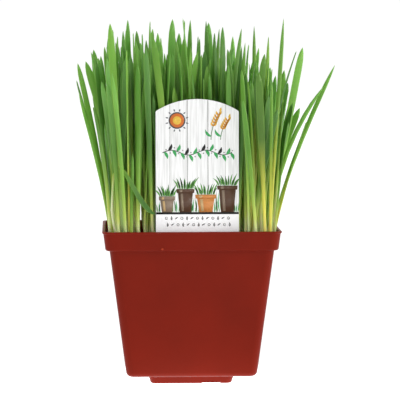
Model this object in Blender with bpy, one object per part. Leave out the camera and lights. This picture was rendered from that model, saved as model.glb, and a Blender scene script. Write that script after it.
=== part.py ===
"""A square plastic pot of young wheatgrass with its plant label, in metres, +Z up.

The origin is the middle of the pot's foot, on the surface that it stands on, and the label faces -Y.
The pot is full of soil. On the soil lies the mat of seeds and roots that the grass grows out of, which
pulls apart into clumps, and each clump is one solid: its piece of the mat with the blades in it.
"""

import math
import random
from collections import namedtuple

import bpy
import numpy as np
from mathutils import Matrix, Vector
from mathutils.bvhtree import BVHTree

# The pot, injection moulded, square, nominal 4.5 inches
RIM_WIDTH = 0.1114
POT_HEIGHT = 0.098
WALL = 0.0012
FLOOR = 0.0020
LIP_HEIGHT = 0.0012
LIP_ROUNDING = 0.0003
BAND_TOP_HALF = 0.0549
BAND_FOOT_HALF = 0.0538
BAND_HEIGHT = 0.0120
BAND_ROUNDING = 0.0016
BODY_TOP_HALF = 0.0510
BODY_FOOT_HALF = 0.0412
BODY_CORNER = 0.0055
BAND_CORNER = 0.0060
BASE_ROUNDING = 0.0034
CORNER_STEPS = 4
ROUNDING_STEPS = 3

# The foot, a hollow square under the middle of the base, with a groove under each side
FOOT_HEIGHT = 0.0060
FOOT_TOP_HALF = 0.0274
FOOT_HALF = 0.0260
FOOT_ROUNDING = 0.0018
FOOT_CORNER = 0.0042
FOOT_WALL = 0.0018
FOOT_FLOOR = 0.0026
GROOVE_WIDTH = 0.0130
GROOVE_DEPTH = 0.0018
GROOVE_OFFSET = 0.0125
GROOVE_LENGTH = 0.0100
DRAIN_RADIUS = 0.0034
CORNER_DRAIN = 0.0318
MIDDLE_DRAIN = 0.0150
ROUND_SIDES = 12

# The soil, up to a watering gap below the rim
GAP = 0.0003
SOIL_TOP = 0.0840
SOIL_EDGE_DROP = 0.0015
SOIL_LUMP = 0.0011
SOIL_SIDE_STEPS = 6
SOIL_SEED = 7

# The label, a flat plastic one with an arched head on a pointed stake
LABEL_X = 0.0034
LABEL_Y = -0.0455
LABEL_THICKNESS = 0.0007
LABEL_WIDTH = 0.0515
LABEL_TOP = 0.1797
LABEL_ARCH = 0.0075
LABEL_ARCH_STEPS = 12
LABEL_SHOULDER_TOP = 0.0945
LABEL_SHOULDER_FOOT = 0.0875
LABEL_STAKE_WIDTH = 0.0180
LABEL_TAPER_TOP = 0.0720
LABEL_POINT = 0.0620
LABEL_POINT_WIDTH = 0.0040
LABEL_CLEAR_IN_FRONT = 0.0300

# The mat of seeds and roots, which lies on the soil, and how the clumps divide it
MAT_THICKNESS = 0.0042
MAT_HALF = 0.0486
MAT_BEHIND_LABEL = -0.0430
MAT_CORNER_CUT = 0.0030
MAT_SLOPE = 0.0003
CLUMP_COLUMNS = 5
CLUMP_ROWS = 5
CLUMP_GAP = 0.0004
SEEDS_ACROSS = 4
SEED_JITTER = 0.0017
SEED_MARGIN = 0.0017
ROOT_DEPTH = 0.0030

# The blades
STEM_WIDTH = 0.0021
STEM_THICKNESS = 0.0015
LEAF_STARTS, LEAF_OPEN = 0.15, 0.75
LEAF_THICKNESS = 0.0008
TIP_THICKNESS = 0.00065
TIP_STARTS = 0.82
TIP_POWER = 2.2
BLADE_SECTIONS = (0.0, 0.12, 0.45, 0.82, 0.94)
BLADE_WIDTH, BLADE_WIDTH_SPREAD = 0.0043, 0.0007
BLADE_WIDTH_LEAST, BLADE_WIDTH_MOST = 0.0029, 0.0055
RISE, RISE_SPREAD = 0.1180, 0.0115
RISE_LEAST, RISE_MOST = 0.0800, 0.1440
RISE_LOST_AT_EDGE = 0.0080
RISE_LOST_AT_RIGHT = 0.0150
SPREAD_TO_RIM, SPREAD_ENDS = 0.0040, 0.12
LEAN_TO_RIGHT = 0.0010
FAN_OUT = 0.0040
LEAN_SPREAD = 0.0085
BOW_LEAST, BOW_MOST = 0.95, 2.10
TWIST_SPREAD, TWIST_MOST = 28.0, 60.0
CLEARANCE = 0.00035
TRIES = 60
CALM_AFTER_TRIES = 0.6
GRASS_SEED = 24

# The blades that stand out in front or in the outline: root x and y, tip x and y, rise, bow, droop,
# facing and twist in degrees, and width. The fifth one bends over and hangs.
STANDOUT_BLADES = (
    (-0.0462, -0.0200, -0.0705, -0.0280, 0.1165, 1.35, 0.0, 20, 10, 0.0042),
    (-0.0460, -0.0310, -0.0695, -0.0420, 0.0980, 1.45, 0.0, 15, 20, 0.0034),
    (-0.0455, 0.0030, -0.0600, -0.0050, 0.1200, 1.50, 0.0, 10, 15, 0.0040),
    (-0.0395, -0.0420, -0.0502, -0.0455, 0.1410, 1.20, 0.0, 8, 5, 0.0050),
    (-0.0460, -0.0455, -0.0226, -0.0520, 0.0235, 2.40, 9.8, 90, -70, 0.0042),
    (0.0462, -0.0210, 0.0905, -0.0260, 0.1150, 1.38, 0.0, -15, -20, 0.0034),
    (0.0460, -0.0330, 0.0822, -0.0430, 0.1020, 2.30, 0.0, -20, 10, 0.0030),
    (0.0455, -0.0070, 0.0715, -0.0100, 0.1260, 1.10, 0.0, 5, 15, 0.0054),
    (0.0455, 0.0060, 0.0725, 0.0120, 0.1140, 1.55, 0.0, -25, 10, 0.0034),
    (0.0440, -0.0430, 0.0568, -0.0470, 0.1440, 1.05, 0.0, 12, -30, 0.0029),
    (0.0350, -0.0450, 0.0530, -0.0500, 0.0880, 1.60, 0.0, 5, 10, 0.0050),
    (0.0330, -0.0370, 0.0455, -0.0405, 0.1220, 1.50, 0.0, -8, 20, 0.0050),
    (-0.0360, 0.0135, -0.0419, 0.0150, 0.1370, 1.20, 0.0, 15, 20, 0.0038),
    (-0.0140, -0.0100, -0.0109, -0.0140, 0.1440, 1.10, 0.0, 5, 10, 0.0054),
    (-0.0020, 0.0050, 0.0010, 0.0090, 0.1440, 1.30, 0.0, -20, 25, 0.0036),
    (0.0128, -0.0150, 0.0100, -0.0180, 0.1430, 1.20, 0.0, 10, -15, 0.0036),
    (0.0130, 0.0030, 0.0124, 0.0020, 0.1420, 1.00, 0.0, -5, 10, 0.0054),
    (0.0180, -0.0285, 0.0200, -0.0300, 0.1390, 1.10, 0.0, 15, 10, 0.0042),
    (0.0390, 0.0060, 0.0417, 0.0060, 0.1400, 1.00, 0.0, -5, 25, 0.0030),
    (0.0420, -0.0240, 0.0488, -0.0280, 0.1330, 1.30, 0.0, 20, 15, 0.0032),
)

TERRACOTTA = (0.230, 0.017, 0.010)
SOIL_BROWN = (0.030, 0.017, 0.010)
LABEL_WHITE = (0.880, 0.880, 0.870)
GRASS_GREEN = (0.120, 0.300, 0.045)

BAND_FOOT = POT_HEIGHT - BAND_HEIGHT
FLOOR_TOP = FOOT_HEIGHT + FLOOR
MAT_FOOT = SOIL_TOP + GAP
MAT_TOP = MAT_FOOT + MAT_THICKNESS
ROOT_Z = MAT_TOP - ROOT_DEPTH

Blade = namedtuple("Blade", "root reach rise bow droop facing twist width")


def clear_scene():
    for old in list(bpy.data.objects):
        bpy.data.objects.remove(old)


def material(name, colour, roughness):
    made = bpy.data.materials.new(name)
    made.use_nodes = True
    surface = made.node_tree.nodes["Principled BSDF"]
    surface.inputs["Base Color"].default_value = (*colour, 1.0)
    surface.inputs["Roughness"].default_value = roughness
    surface.inputs["Metallic"].default_value = 0.0
    return made


def loft(rings, tip=None):
    """The points and faces of a closed solid through rings of equal length, which run counterclockwise
    seen from the far end. It ends in a flat cap, or in a point at the tip. The side from the last point
    back to the first is split the other way, so that a twisted blade's two faces can't cross."""
    count = len(rings[0])
    points = [point for ring in rings for point in ring]
    last = count * (len(rings) - 1)
    faces = [tuple(reversed(range(count)))]
    for low in range(0, last, count):
        high = low + count
        for i in range(count - 1):
            faces.append((low + i, low + i + 1, high + i + 1))
            faces.append((low + i, high + i + 1, high + i))
        faces.append((high - 1, low, high + count - 1))
        faces.append((low, high, high + count - 1))
    if tip is None:
        faces.append(tuple(range(last, last + count)))
    else:
        points.append(tip)
        faces.extend((last + i, last + (i + 1) % count, len(points) - 1) for i in range(count))
    return points, faces


def solid(name, shape, finish=None):
    points, faces = shape
    mesh = bpy.data.meshes.new(name)
    mesh.from_pydata([tuple(point) for point in points], [], faces)
    made = bpy.data.objects.new(name, mesh)
    bpy.context.scene.collection.objects.link(made)
    if finish:
        mesh.materials.append(finish)
    return made


def boolean(obj, operation, other):
    """Joins another solid to this one or cuts it out, and leaves the other one as a hidden helper."""
    modifier = obj.modifiers.new(other.name, "BOOLEAN")
    modifier.operation = operation
    modifier.object = other
    other.hide_render = True
    other.display_type = "WIRE"


def smooth_round_parts(obj):
    obj.data.shade_smooth()
    obj.data.set_sharp_from_angle(angle=math.radians(35))


def quarter_round(radius):
    """How far out and up a rounded bottom edge goes, from the base round to the wall."""
    for step in range(ROUNDING_STEPS + 1):
        angle = math.radians(90) * step / ROUNDING_STEPS
        yield radius * math.sin(angle), radius * (1 - math.cos(angle))


def rounded_square(half, corner, z, side_steps=1):
    """Points round a square with rounded corners, counterclockwise from above."""
    ring = []
    for quarter in range(4):
        turn = Matrix.Rotation(math.radians(90 * quarter), 3, "Z")
        for step in range(CORNER_STEPS + 1):
            angle = math.radians(90) * step / CORNER_STEPS
            x = half - corner + corner * math.cos(angle)
            y = half - corner + corner * math.sin(angle)
            ring.append(turn @ Vector((x, y, z)))
        for step in range(1, side_steps):
            x = (half - corner) * (1 - 2 * step / side_steps)
            ring.append(turn @ Vector((x, half, z)))
    return ring


def body_half(z):
    """Half the body's outside width at a height: its walls draw in evenly from the band down."""
    share = (z - FOOT_HEIGHT) / (BAND_FOOT - FOOT_HEIGHT)
    return BODY_FOOT_HALF + (BODY_TOP_HALF - BODY_FOOT_HALF) * share


def pot_outside():
    """Rings up the outside: the base's rounding, the wall, the band under the rim and its lip."""
    rings = []
    for out, up in quarter_round(BASE_ROUNDING):
        inset = BASE_ROUNDING - out
        rings.append(rounded_square(BODY_FOOT_HALF - inset, BODY_CORNER - inset, FOOT_HEIGHT + up))
    rings.append(rounded_square(BODY_TOP_HALF, BODY_CORNER, BAND_FOOT))
    for out, up in quarter_round(BAND_ROUNDING):
        inset = BAND_ROUNDING - out
        rings.append(rounded_square(BAND_FOOT_HALF - inset, BAND_CORNER - inset, BAND_FOOT + up))
    rings.append(rounded_square(BAND_TOP_HALF, BAND_CORNER, POT_HEIGHT - LIP_HEIGHT))
    rings.append(rounded_square(RIM_WIDTH / 2, BAND_CORNER, POT_HEIGHT - LIP_HEIGHT / 2))
    rings.append(rounded_square(RIM_WIDTH / 2 - LIP_ROUNDING, BAND_CORNER, POT_HEIGHT))
    return rings


def cavity_foot(clearance=0.0, side_steps=1):
    """Rings of the cavity's rounded bottom from the floor up, drawn in by a clearance."""
    rounding = BASE_ROUNDING - WALL
    wall = body_half(FLOOR_TOP) - WALL - clearance
    rings = []
    for out, up in quarter_round(rounding):
        inset = rounding - out
        corner = BODY_CORNER - WALL - inset
        rings.append(rounded_square(wall - inset, corner, FLOOR_TOP + clearance + up, side_steps))
    return rings


def pot_inside():
    """Rings down the inside, one wall's thickness in from the outside."""
    band_corner = BAND_CORNER - WALL
    return [
        rounded_square(BAND_TOP_HALF - WALL, band_corner, POT_HEIGHT),
        rounded_square(BAND_FOOT_HALF - WALL, band_corner, BAND_FOOT + WALL),
        rounded_square(BODY_TOP_HALF - WALL, BODY_CORNER - WALL, BAND_FOOT + WALL),
        *reversed(cavity_foot()),
    ]


def foot_half(z):
    """Half the foot's outside width at a height: its walls draw in evenly from the base down."""
    share = (z - FOOT_ROUNDING) / (FOOT_HEIGHT - FOOT_ROUNDING)
    return FOOT_HALF + (FOOT_TOP_HALF - FOOT_HALF) * share


def make_foot():
    rings = []
    for out, up in quarter_round(FOOT_ROUNDING):
        inset = FOOT_ROUNDING - out
        rings.append(rounded_square(FOOT_HALF - inset, FOOT_CORNER - inset, up))
    top = FOOT_HEIGHT + FLOOR / 2
    rings.append(rounded_square(foot_half(top), FOOT_CORNER, top))
    return solid("foot", loft(rings))


def foot_hollow(name, clearance, top):
    """The space inside the foot, or the soil in it when it is drawn in by a clearance."""
    inset = FOOT_WALL + clearance
    rings = []
    for z in (FOOT_FLOOR + clearance, top):
        rings.append(rounded_square(foot_half(z) - inset, FOOT_CORNER - inset, z))
    return solid(name, loft(rings))


def rod(middle, axis, radius, length):
    """The points and faces of a cylinder through its middle, along an axis."""
    across = axis.orthogonal().normalized()
    rings = []
    for end in (-length / 2, length / 2):
        ring = []
        for side in range(ROUND_SIDES):
            spoke = Matrix.Rotation(math.tau * side / ROUND_SIDES, 3, axis) @ across
            ring.append(middle + axis * end + spoke * radius)
        rings.append(ring)
    return loft(rings)


def joined(name, shapes):
    """One object that holds several shapes clear of each other."""
    points = []
    faces = []
    for shape_points, shape_faces in shapes:
        faces.extend(tuple(i + len(points) for i in face) for face in shape_faces)
        points.extend(shape_points)
    return solid(name, (points, faces))


def drain_holes():
    up = Vector((0, 0, 1))
    holes = []
    for x in (-1, 1):
        for y in (-1, 1):
            corner = Vector((x * CORNER_DRAIN, y * CORNER_DRAIN, FOOT_HEIGHT + FLOOR / 2))
            middle = Vector((x * MIDDLE_DRAIN, y * MIDDLE_DRAIN, FOOT_FLOOR / 2))
            holes.append(rod(corner, up, DRAIN_RADIUS, 2 * FLOOR))
            holes.append(rod(middle, up, DRAIN_RADIUS, 2 * FOOT_FLOOR))
    return joined("drain_holes", holes)


def drain_grooves():
    """A shallow arch under each side of the foot, which lets water run out."""
    radius = (GROOVE_WIDTH**2 / 4 + GROOVE_DEPTH**2) / (2 * GROOVE_DEPTH)
    grooves = []
    for quarter in range(4):
        turn = Matrix.Rotation(math.radians(90 * quarter), 3, "Z")
        middle = turn @ Vector((GROOVE_OFFSET, -FOOT_HALF, GROOVE_DEPTH - radius))
        grooves.append(rod(middle, turn @ Vector((0, 1, 0)), radius, GROOVE_LENGTH))
    return joined("drain_grooves", grooves)


def make_pot():
    pot = solid("pot", loft(pot_outside() + pot_inside()), material("terracotta plastic", TERRACOTTA, 0.42))
    boolean(pot, "UNION", make_foot())
    boolean(pot, "DIFFERENCE", foot_hollow("foot_hollow", 0.0, FLOOR_TOP + FLOOR))
    boolean(pot, "DIFFERENCE", drain_holes())
    boolean(pot, "DIFFERENCE", drain_grooves())
    smooth_round_parts(pot)
    return pot


def soil_top():
    """Rings over the soil's uneven border, which shows round the mat, to the flat that the mat lies on."""
    lumps = random.Random(SOIL_SEED)
    wall = body_half(SOIL_TOP) - WALL - GAP
    corner = BODY_CORNER - WALL
    edge = rounded_square(wall - GAP, corner, SOIL_TOP - SOIL_EDGE_DROP, SOIL_SIDE_STEPS)
    for point in edge:
        point.z -= SOIL_LUMP * lumps.random()
    flat = rounded_square(wall - SOIL_EDGE_DROP, corner, SOIL_TOP, SOIL_SIDE_STEPS)
    return [edge, flat]


def make_soil():
    rings = cavity_foot(GAP, SOIL_SIDE_STEPS) + soil_top()
    soil = solid("soil", loft(rings), material("potting soil", SOIL_BROWN, 0.95))
    boolean(soil, "UNION", foot_hollow("soil_in_foot", GAP, FLOOR_TOP + FLOOR))
    boolean(soil, "DIFFERENCE", solid("label_slot", label_plate(GAP)))
    return soil


def label_plate(clearance=0.0, in_front=0.0):
    """The label's outline, up its right side, over the arch and down its left side, made LABEL_THICKNESS
    thick. A clearance makes it larger all round, and in_front adds a depth to its face."""
    half = LABEL_WIDTH / 2 + clearance
    stake = LABEL_STAKE_WIDTH / 2 + clearance
    right = [
        (LABEL_POINT_WIDTH / 2, LABEL_POINT - clearance),
        (stake, LABEL_TAPER_TOP),
        (stake, LABEL_SHOULDER_FOOT),
        (half, LABEL_SHOULDER_TOP),
    ]
    radius = (half**2 + LABEL_ARCH**2) / (2 * LABEL_ARCH)
    spread = math.asin(half / radius)
    arch = []
    for step in range(LABEL_ARCH_STEPS + 1):
        angle = spread * (1 - 2 * step / LABEL_ARCH_STEPS)
        arch.append((radius * math.sin(angle), LABEL_TOP - radius + radius * math.cos(angle)))
    outline = right + arch + [(-x, z) for x, z in reversed(right)]
    back = LABEL_Y + LABEL_THICKNESS / 2 + clearance
    front = LABEL_Y - LABEL_THICKNESS / 2 - clearance - in_front
    return loft([[Vector((LABEL_X + x, y, z)) for x, z in outline] for y in (back, front)])


def make_label():
    return solid("plant_label", label_plate(), material("label plastic", LABEL_WHITE, 0.35))


def clump_edges(column, row):
    """The west, east, south and north edges of a clump's piece of the mat. The clumps behind the label
    stop short of it, and those at its sides reach as far forward as they reach back."""
    width = 2 * MAT_HALF / CLUMP_COLUMNS
    front = -MAT_HALF if column in (0, CLUMP_COLUMNS - 1) else MAT_BEHIND_LABEL
    depth = (MAT_HALF - front) / CLUMP_ROWS
    west = -MAT_HALF + width * column
    south = front + depth * row
    return west, west + width, south, south + depth


def clump_outline(column, row, inset):
    """Corners of a clump's piece of the mat, cut off where the pot's corner is round."""
    west, east, south, north = clump_edges(column, row)
    outline = []
    for x, y, along in ((east, south, 0), (east, north, 1), (west, north, 2), (west, south, 3)):
        inner_x = x - math.copysign(inset, x - (west + east) / 2)
        inner_y = y - math.copysign(inset, y - (south + north) / 2)
        in_pot_corner = min(abs(x), abs(y)) > MAT_HALF - GAP
        if not in_pot_corner:
            outline.append((inner_x, inner_y))
            continue
        cut_x = inner_x - math.copysign(MAT_CORNER_CUT, x)
        cut_y = inner_y - math.copysign(MAT_CORNER_CUT, y)
        ends = [(cut_x, inner_y), (inner_x, cut_y)]
        outline.extend(reversed(ends) if along in (1, 3) else ends)
    return outline


def mat_piece(column, row):
    rings = []
    for inset, z in ((CLUMP_GAP / 2, MAT_FOOT), (CLUMP_GAP / 2 + MAT_SLOPE, MAT_TOP)):
        rings.append([Vector((x, y, z)) for x, y in clump_outline(column, row, inset)])
    return loft(rings)


def smoothstep(low, high, value):
    share = min(max((value - low) / (high - low), 0.0), 1.0)
    return share * share * (3 - 2 * share)


def spine(blade, s):
    """The blade's middle line at a share s of its length. Just above its root it spreads towards the rim,
    the more the further out it stands. It reaches out by s to the power bow, and it rises by
    s (1 + droop (1 - s) to the power 1.5), so that one with a droop bends over halfway up and hangs."""
    spread = 1 + SPREAD_TO_RIM / MAT_HALF * smoothstep(0.0, SPREAD_ENDS, s)
    run = s**blade.bow
    lift = s * (1 + blade.droop * (1 - s) ** 1.5)
    return Vector(
        (
            blade.root.x * spread + blade.reach.x * run,
            blade.root.y * spread + blade.reach.y * run,
            ROOT_Z + blade.rise * lift,
        )
    )


def blade_frame(blade, s):
    """Unit vectors across the blade and out of its face at a share s of its length."""
    ahead = spine(blade, min(s + 0.01, 1.0))
    behind = spine(blade, max(s - 0.01, 0.0))
    along = (ahead - behind).normalized()
    angle = math.radians(blade.facing + blade.twist * s)
    across = Vector((math.cos(angle), math.sin(angle), 0.0))
    across = (across - along * across.dot(along)).normalized()
    return across, along.cross(across)


def blade_width(blade, s):
    opened = STEM_WIDTH + (blade.width - STEM_WIDTH) * smoothstep(LEAF_STARTS, LEAF_OPEN, s)
    past = max(s - TIP_STARTS, 0.0) / (1 - TIP_STARTS)
    return opened * (1 - past**TIP_POWER)


def blade_thickness(s):
    leaf = STEM_THICKNESS + (LEAF_THICKNESS - STEM_THICKNESS) * smoothstep(0.0, LEAF_OPEN, s)
    return leaf + (TIP_THICKNESS - LEAF_THICKNESS) * smoothstep(TIP_STARTS, 1.0, s)


def blade_shape(blade):
    """A blade with a three-sided section, two edges and the keel behind them, that ends in a point."""
    rings = []
    for s in BLADE_SECTIONS:
        middle = spine(blade, s)
        across, out = blade_frame(blade, s)
        across *= blade_width(blade, s) / 2
        out *= blade_thickness(s) / 2
        rings.append([middle - across + out, middle - out, middle + across + out])
    return loft(rings, tip=spine(blade, 1.0))


def blade_sheath(blade):
    """A four-sided sleeve round the blade that keeps CLEARANCE from it."""
    rings = []
    for s in (*BLADE_SECTIONS, 1.0):
        middle = spine(blade, s)
        across, out = blade_frame(blade, s)
        across *= blade_width(blade, s) / 2 + CLEARANCE
        out *= blade_thickness(s) / 2 + CLEARANCE
        rings.append([middle - across + out, middle - across - out, middle + across - out, middle + across + out])
    return loft(rings)


class Surroundings:
    """What stands in a new blade's way, as boxes for a first look and as search trees for the real one."""

    def __init__(self):
        self.lows = []
        self.highs = []
        self.trees = []
        self.owners = []

    def add(self, shape, owner=None):
        points, faces = shape
        places = np.array([tuple(point) for point in points])
        self.lows.append(places.min(axis=0))
        self.highs.append(places.max(axis=0))
        self.trees.append(BVHTree.FromPolygons(points, faces))
        self.owners.append(owner)

    def clear_of(self, shape, owner):
        """Whether a shape crosses nothing, apart from its owner's own piece of the mat."""
        points, faces = shape
        places = np.array([tuple(point) for point in points])
        apart = (np.array(self.lows) > places.max(axis=0)) | (np.array(self.highs) < places.min(axis=0))
        tree = BVHTree.FromPolygons(points, faces)
        for i in np.flatnonzero(~apart.any(axis=1)):
            if self.owners[i] != owner and tree.overlap(self.trees[i]):
                return False
        return True


def standout_blades():
    for root_x, root_y, tip_x, tip_y, rise, bow, droop, facing, twist, width in STANDOUT_BLADES:
        root = Vector((root_x, root_y))
        reach = Vector((tip_x, tip_y)) - root * (1 + SPREAD_TO_RIM / MAT_HALF)
        yield Blade(root, reach, rise, bow, droop, facing, twist, width)


def clamped(value, least, most):
    return min(max(value, least), most)


def random_root(draw, clump, x, y):
    """A place near a seed's, well inside its clump's piece of the mat."""
    west, east, south, north = clump_edges(*clump)
    x += draw.uniform(-SEED_JITTER, SEED_JITTER)
    y += draw.uniform(-SEED_JITTER, SEED_JITTER)
    return Vector(
        (
            clamped(x, west + SEED_MARGIN, east - SEED_MARGIN),
            clamped(y, south + SEED_MARGIN, north - SEED_MARGIN),
        )
    )


def random_blade(draw, root, calm):
    """A blade that leans outward the more it stands at the edge."""
    outward = root / MAT_HALF
    spread = LEAN_SPREAD * calm
    reach = Vector(
        (
            LEAN_TO_RIGHT + FAN_OUT * outward.x + draw.gauss(0, spread),
            FAN_OUT * outward.y + draw.gauss(0, spread),
        )
    )
    rise = draw.gauss(RISE, RISE_SPREAD) - RISE_LOST_AT_EDGE * outward.length_squared / 2
    rise -= RISE_LOST_AT_RIGHT * smoothstep(0.4, 1.0, outward.x)
    width = draw.gauss(BLADE_WIDTH, BLADE_WIDTH_SPREAD)
    return Blade(
        root,
        reach,
        clamped(rise, RISE_LEAST, RISE_MOST),
        draw.uniform(BOW_LEAST, BOW_MOST),
        0.0,
        draw.uniform(-90, 90),
        clamped(draw.gauss(0, TWIST_SPREAD), -TWIST_MOST, TWIST_MOST),
        clamped(width, BLADE_WIDTH_LEAST, BLADE_WIDTH_MOST),
    )


def clump_of(root):
    """The clump whose piece of the mat a root stands in."""
    column = int((root.x + MAT_HALF) / (2 * MAT_HALF) * CLUMP_COLUMNS)
    _, _, front, back = clump_edges(column, 0)
    return column, int((root.y - front) / (back - front))


def seed_places(draw):
    """An even pattern of seeds over every clump, in an order drawn by lot."""
    places = []
    for column in range(CLUMP_COLUMNS):
        for row in range(CLUMP_ROWS):
            west, east, south, north = clump_edges(column, row)
            for i in range(SEEDS_ACROSS * SEEDS_ACROSS):
                share_x = (i % SEEDS_ACROSS + 0.5) / SEEDS_ACROSS
                share_y = (i // SEEDS_ACROSS + 0.5) / SEEDS_ACROSS
                x = west + (east - west) * share_x
                y = south + (north - south) * share_y
                places.append(((column, row), x, y))
    draw.shuffle(places)
    return places


def grow_grass():
    """Every blade, by clump, each one bent clear of the pot, the label and the view of it, and all the
    other blades."""
    around = Surroundings()
    around.add(loft(pot_outside() + pot_inside()))
    around.add(label_plate(in_front=LABEL_CLEAR_IN_FRONT))
    clumps = {}
    for column in range(CLUMP_COLUMNS):
        for row in range(CLUMP_ROWS):
            clumps[column, row] = []
            around.add(mat_piece(column, row), owner=(column, row))

    def keep(blade, clump):
        if not around.clear_of(blade_sheath(blade), clump):
            return False
        around.add(blade_shape(blade))
        clumps[clump].append(blade)
        return True

    for blade in standout_blades():
        keep(blade, clump_of(blade.root))
    draw = random.Random(GRASS_SEED)
    for clump, x, y in seed_places(draw):
        for attempt in range(TRIES):
            calm = 1 - CALM_AFTER_TRIES * attempt / TRIES
            if keep(random_blade(draw, random_root(draw, clump, x, y), calm), clump):
                break
    return clumps


def fuse(base, shapes):
    """Joins a clump's blades to its piece of the mat by one union, and drops the loose blades."""
    bunch = bpy.data.collections.new(f"{base.name} blades")
    for number, shape in enumerate(shapes):
        blade = solid(f"{base.name} blade {number}", shape)
        bunch.objects.link(blade)
        bpy.context.scene.collection.objects.unlink(blade)
    union = base.modifiers.new("blades", "BOOLEAN")
    union.operation = "UNION"
    union.operand_type = "COLLECTION"
    union.collection = bunch
    bpy.context.view_layer.update()
    evaluated = base.evaluated_get(bpy.context.evaluated_depsgraph_get())
    fused = bpy.data.meshes.new_from_object(evaluated)
    base.modifiers.remove(union)
    base.data = fused
    for blade in list(bunch.objects):
        bpy.data.objects.remove(blade)
    bpy.data.collections.remove(bunch)


def make_grass():
    finish = material("wheatgrass", GRASS_GREEN, 0.5)
    for (column, row), blades in grow_grass().items():
        clump = solid(f"grass_clump_{column + 1}{row + 1}", mat_piece(column, row), finish)
        fuse(clump, [blade_shape(blade) for blade in blades])


clear_scene()
make_pot()
make_soil()
make_label()
make_grass()
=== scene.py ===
"""A square terracotta pot of young wheatgrass with its plant label, dressed for the camera.

Metres, +Z up. The pot's foot stands on the floor at the origin, and the label faces -Y.
"""

import math
import random
from collections import namedtuple

import bpy
import numpy as np
from mathutils import Matrix, Vector
from mathutils.bvhtree import BVHTree


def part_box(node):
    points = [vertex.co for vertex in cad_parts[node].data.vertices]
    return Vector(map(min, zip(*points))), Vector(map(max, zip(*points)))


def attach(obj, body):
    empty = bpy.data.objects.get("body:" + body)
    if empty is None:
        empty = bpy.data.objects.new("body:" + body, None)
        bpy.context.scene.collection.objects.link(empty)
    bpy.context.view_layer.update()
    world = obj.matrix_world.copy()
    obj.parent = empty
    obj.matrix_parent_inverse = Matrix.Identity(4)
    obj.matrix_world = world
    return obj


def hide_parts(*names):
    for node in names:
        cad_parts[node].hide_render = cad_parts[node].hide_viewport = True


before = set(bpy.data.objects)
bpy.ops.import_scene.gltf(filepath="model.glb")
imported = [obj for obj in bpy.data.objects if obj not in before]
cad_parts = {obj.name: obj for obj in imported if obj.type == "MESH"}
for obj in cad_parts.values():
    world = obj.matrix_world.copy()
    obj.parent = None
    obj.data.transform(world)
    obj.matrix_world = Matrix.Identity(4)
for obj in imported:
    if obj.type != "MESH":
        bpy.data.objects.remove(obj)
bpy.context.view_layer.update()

# The pot
# One piece of polypropylene, injection moulded square with drafted walls, a band under the rim, and a
# hollow square foot with drain holes. Its mould was spark eroded, which gives the matt skin.

MM = 0.001
pot_low, pot_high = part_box("pot")
RIM_HALF = (pot_high.x - pot_low.x) / 2
POT_HEIGHT = pot_high.z
WALL, FLOOR = 1.2 * MM, 2.0 * MM
BAND_TOP_HALF, BAND_FOOT_HALF, BAND_HEIGHT = 54.9 * MM, 53.8 * MM, 12.0 * MM
BODY_TOP_HALF, BODY_FOOT_HALF = 51.0 * MM, 41.2 * MM
BODY_CORNER, BAND_CORNER, FOOT_CORNER = 5.5 * MM, 6.0 * MM, 4.2 * MM
BAND_ROUNDING, LIP_BEAD, LEDGE_FILLET, BASE_ROUNDING = 1.6 * MM, 0.55 * MM, 0.9 * MM, 3.4 * MM
FOOT_HEIGHT, FOOT_TOP_HALF, FOOT_HALF, FOOT_ROUNDING = 6.0 * MM, 27.4 * MM, 26.0 * MM, 1.8 * MM
FOOT_WALL, FOOT_FLOOR = 1.8 * MM, 2.6 * MM
GROOVE_WIDTH, GROOVE_DEPTH, GROOVE_OFFSET, GROOVE_LENGTH = 13.0 * MM, 1.8 * MM, 12.5 * MM, 10.0 * MM
DRAIN_RADIUS, CORNER_DRAIN, MIDDLE_DRAIN = 3.4 * MM, 31.8 * MM, 15.0 * MM
GATE_MARK, GATE_MARK_RADIUS, GATE_MARK_RISE = (-18.5 * MM, 87.4 * MM), 0.75 * MM, 0.8 * MM
CORNER_STEPS = 8
BAND_FOOT = POT_HEIGHT - BAND_HEIGHT
FLOOR_TOP = FOOT_HEIGHT + FLOOR
DRAFT = math.degrees(math.atan2(BODY_TOP_HALF - BODY_FOOT_HALF, BAND_FOOT - FOOT_HEIGHT))
# The two torn colours are the sprue mark's stress-whitened orange, made lighter as a painted highlight.
POT_RED, POT_RED_DEEP, TORN_HIGHLIGHT_DEEP, TORN_HIGHLIGHT_LIGHT = "#7B1A08", "#731807", "#982A12", "#BC4A2A"


def linear(code):
    """An sRGB hex colour as linear red, green, blue and alpha: c / 12.92 below 0.04045, and otherwise
    ((c + 0.055) / 1.055) to the power 2.4."""
    channels = [int(code[i : i + 2], 16) / 255 for i in (1, 3, 5)]
    return (*(c / 12.92 if c < 0.04045 else ((c + 0.055) / 1.055) ** 2.4 for c in channels), 1.0)


def set_inputs(node, inputs):
    """Gives each named input of a node a value, or a link from a socket."""
    for name, value in inputs.items():
        if isinstance(value, bpy.types.NodeSocket):
            node.id_data.links.new(value, node.inputs[name])
        else:
            node.inputs[name].default_value = value


def add_node(tree, kind, output, inputs=None, ramp=(), **settings):
    """Adds a node with its settings, inputs and colour stops, and gives the socket of one of its outputs."""
    node = tree.nodes.new("ShaderNode" + kind)
    for name, value in settings.items():
        setattr(node, name, value)
    set_inputs(node, inputs or {})
    for number, (place, code) in enumerate(ramp):
        stops = node.color_ramp.elements
        stop = stops[number] if number < 2 else stops.new(place)
        stop.position = place
        stop.color = linear(code)
    return node.outputs[output]


def new_material(name, **shader):
    """A material whose Principled BSDF has the given values, with its node tree and that shader."""
    material = bpy.data.materials.new(name)
    material.use_nodes = True
    surface = material.node_tree.nodes["Principled BSDF"]
    set_inputs(surface, {socket.replace("_", " "): value for socket, value in shader.items()})
    return material, material.node_tree, surface


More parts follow.
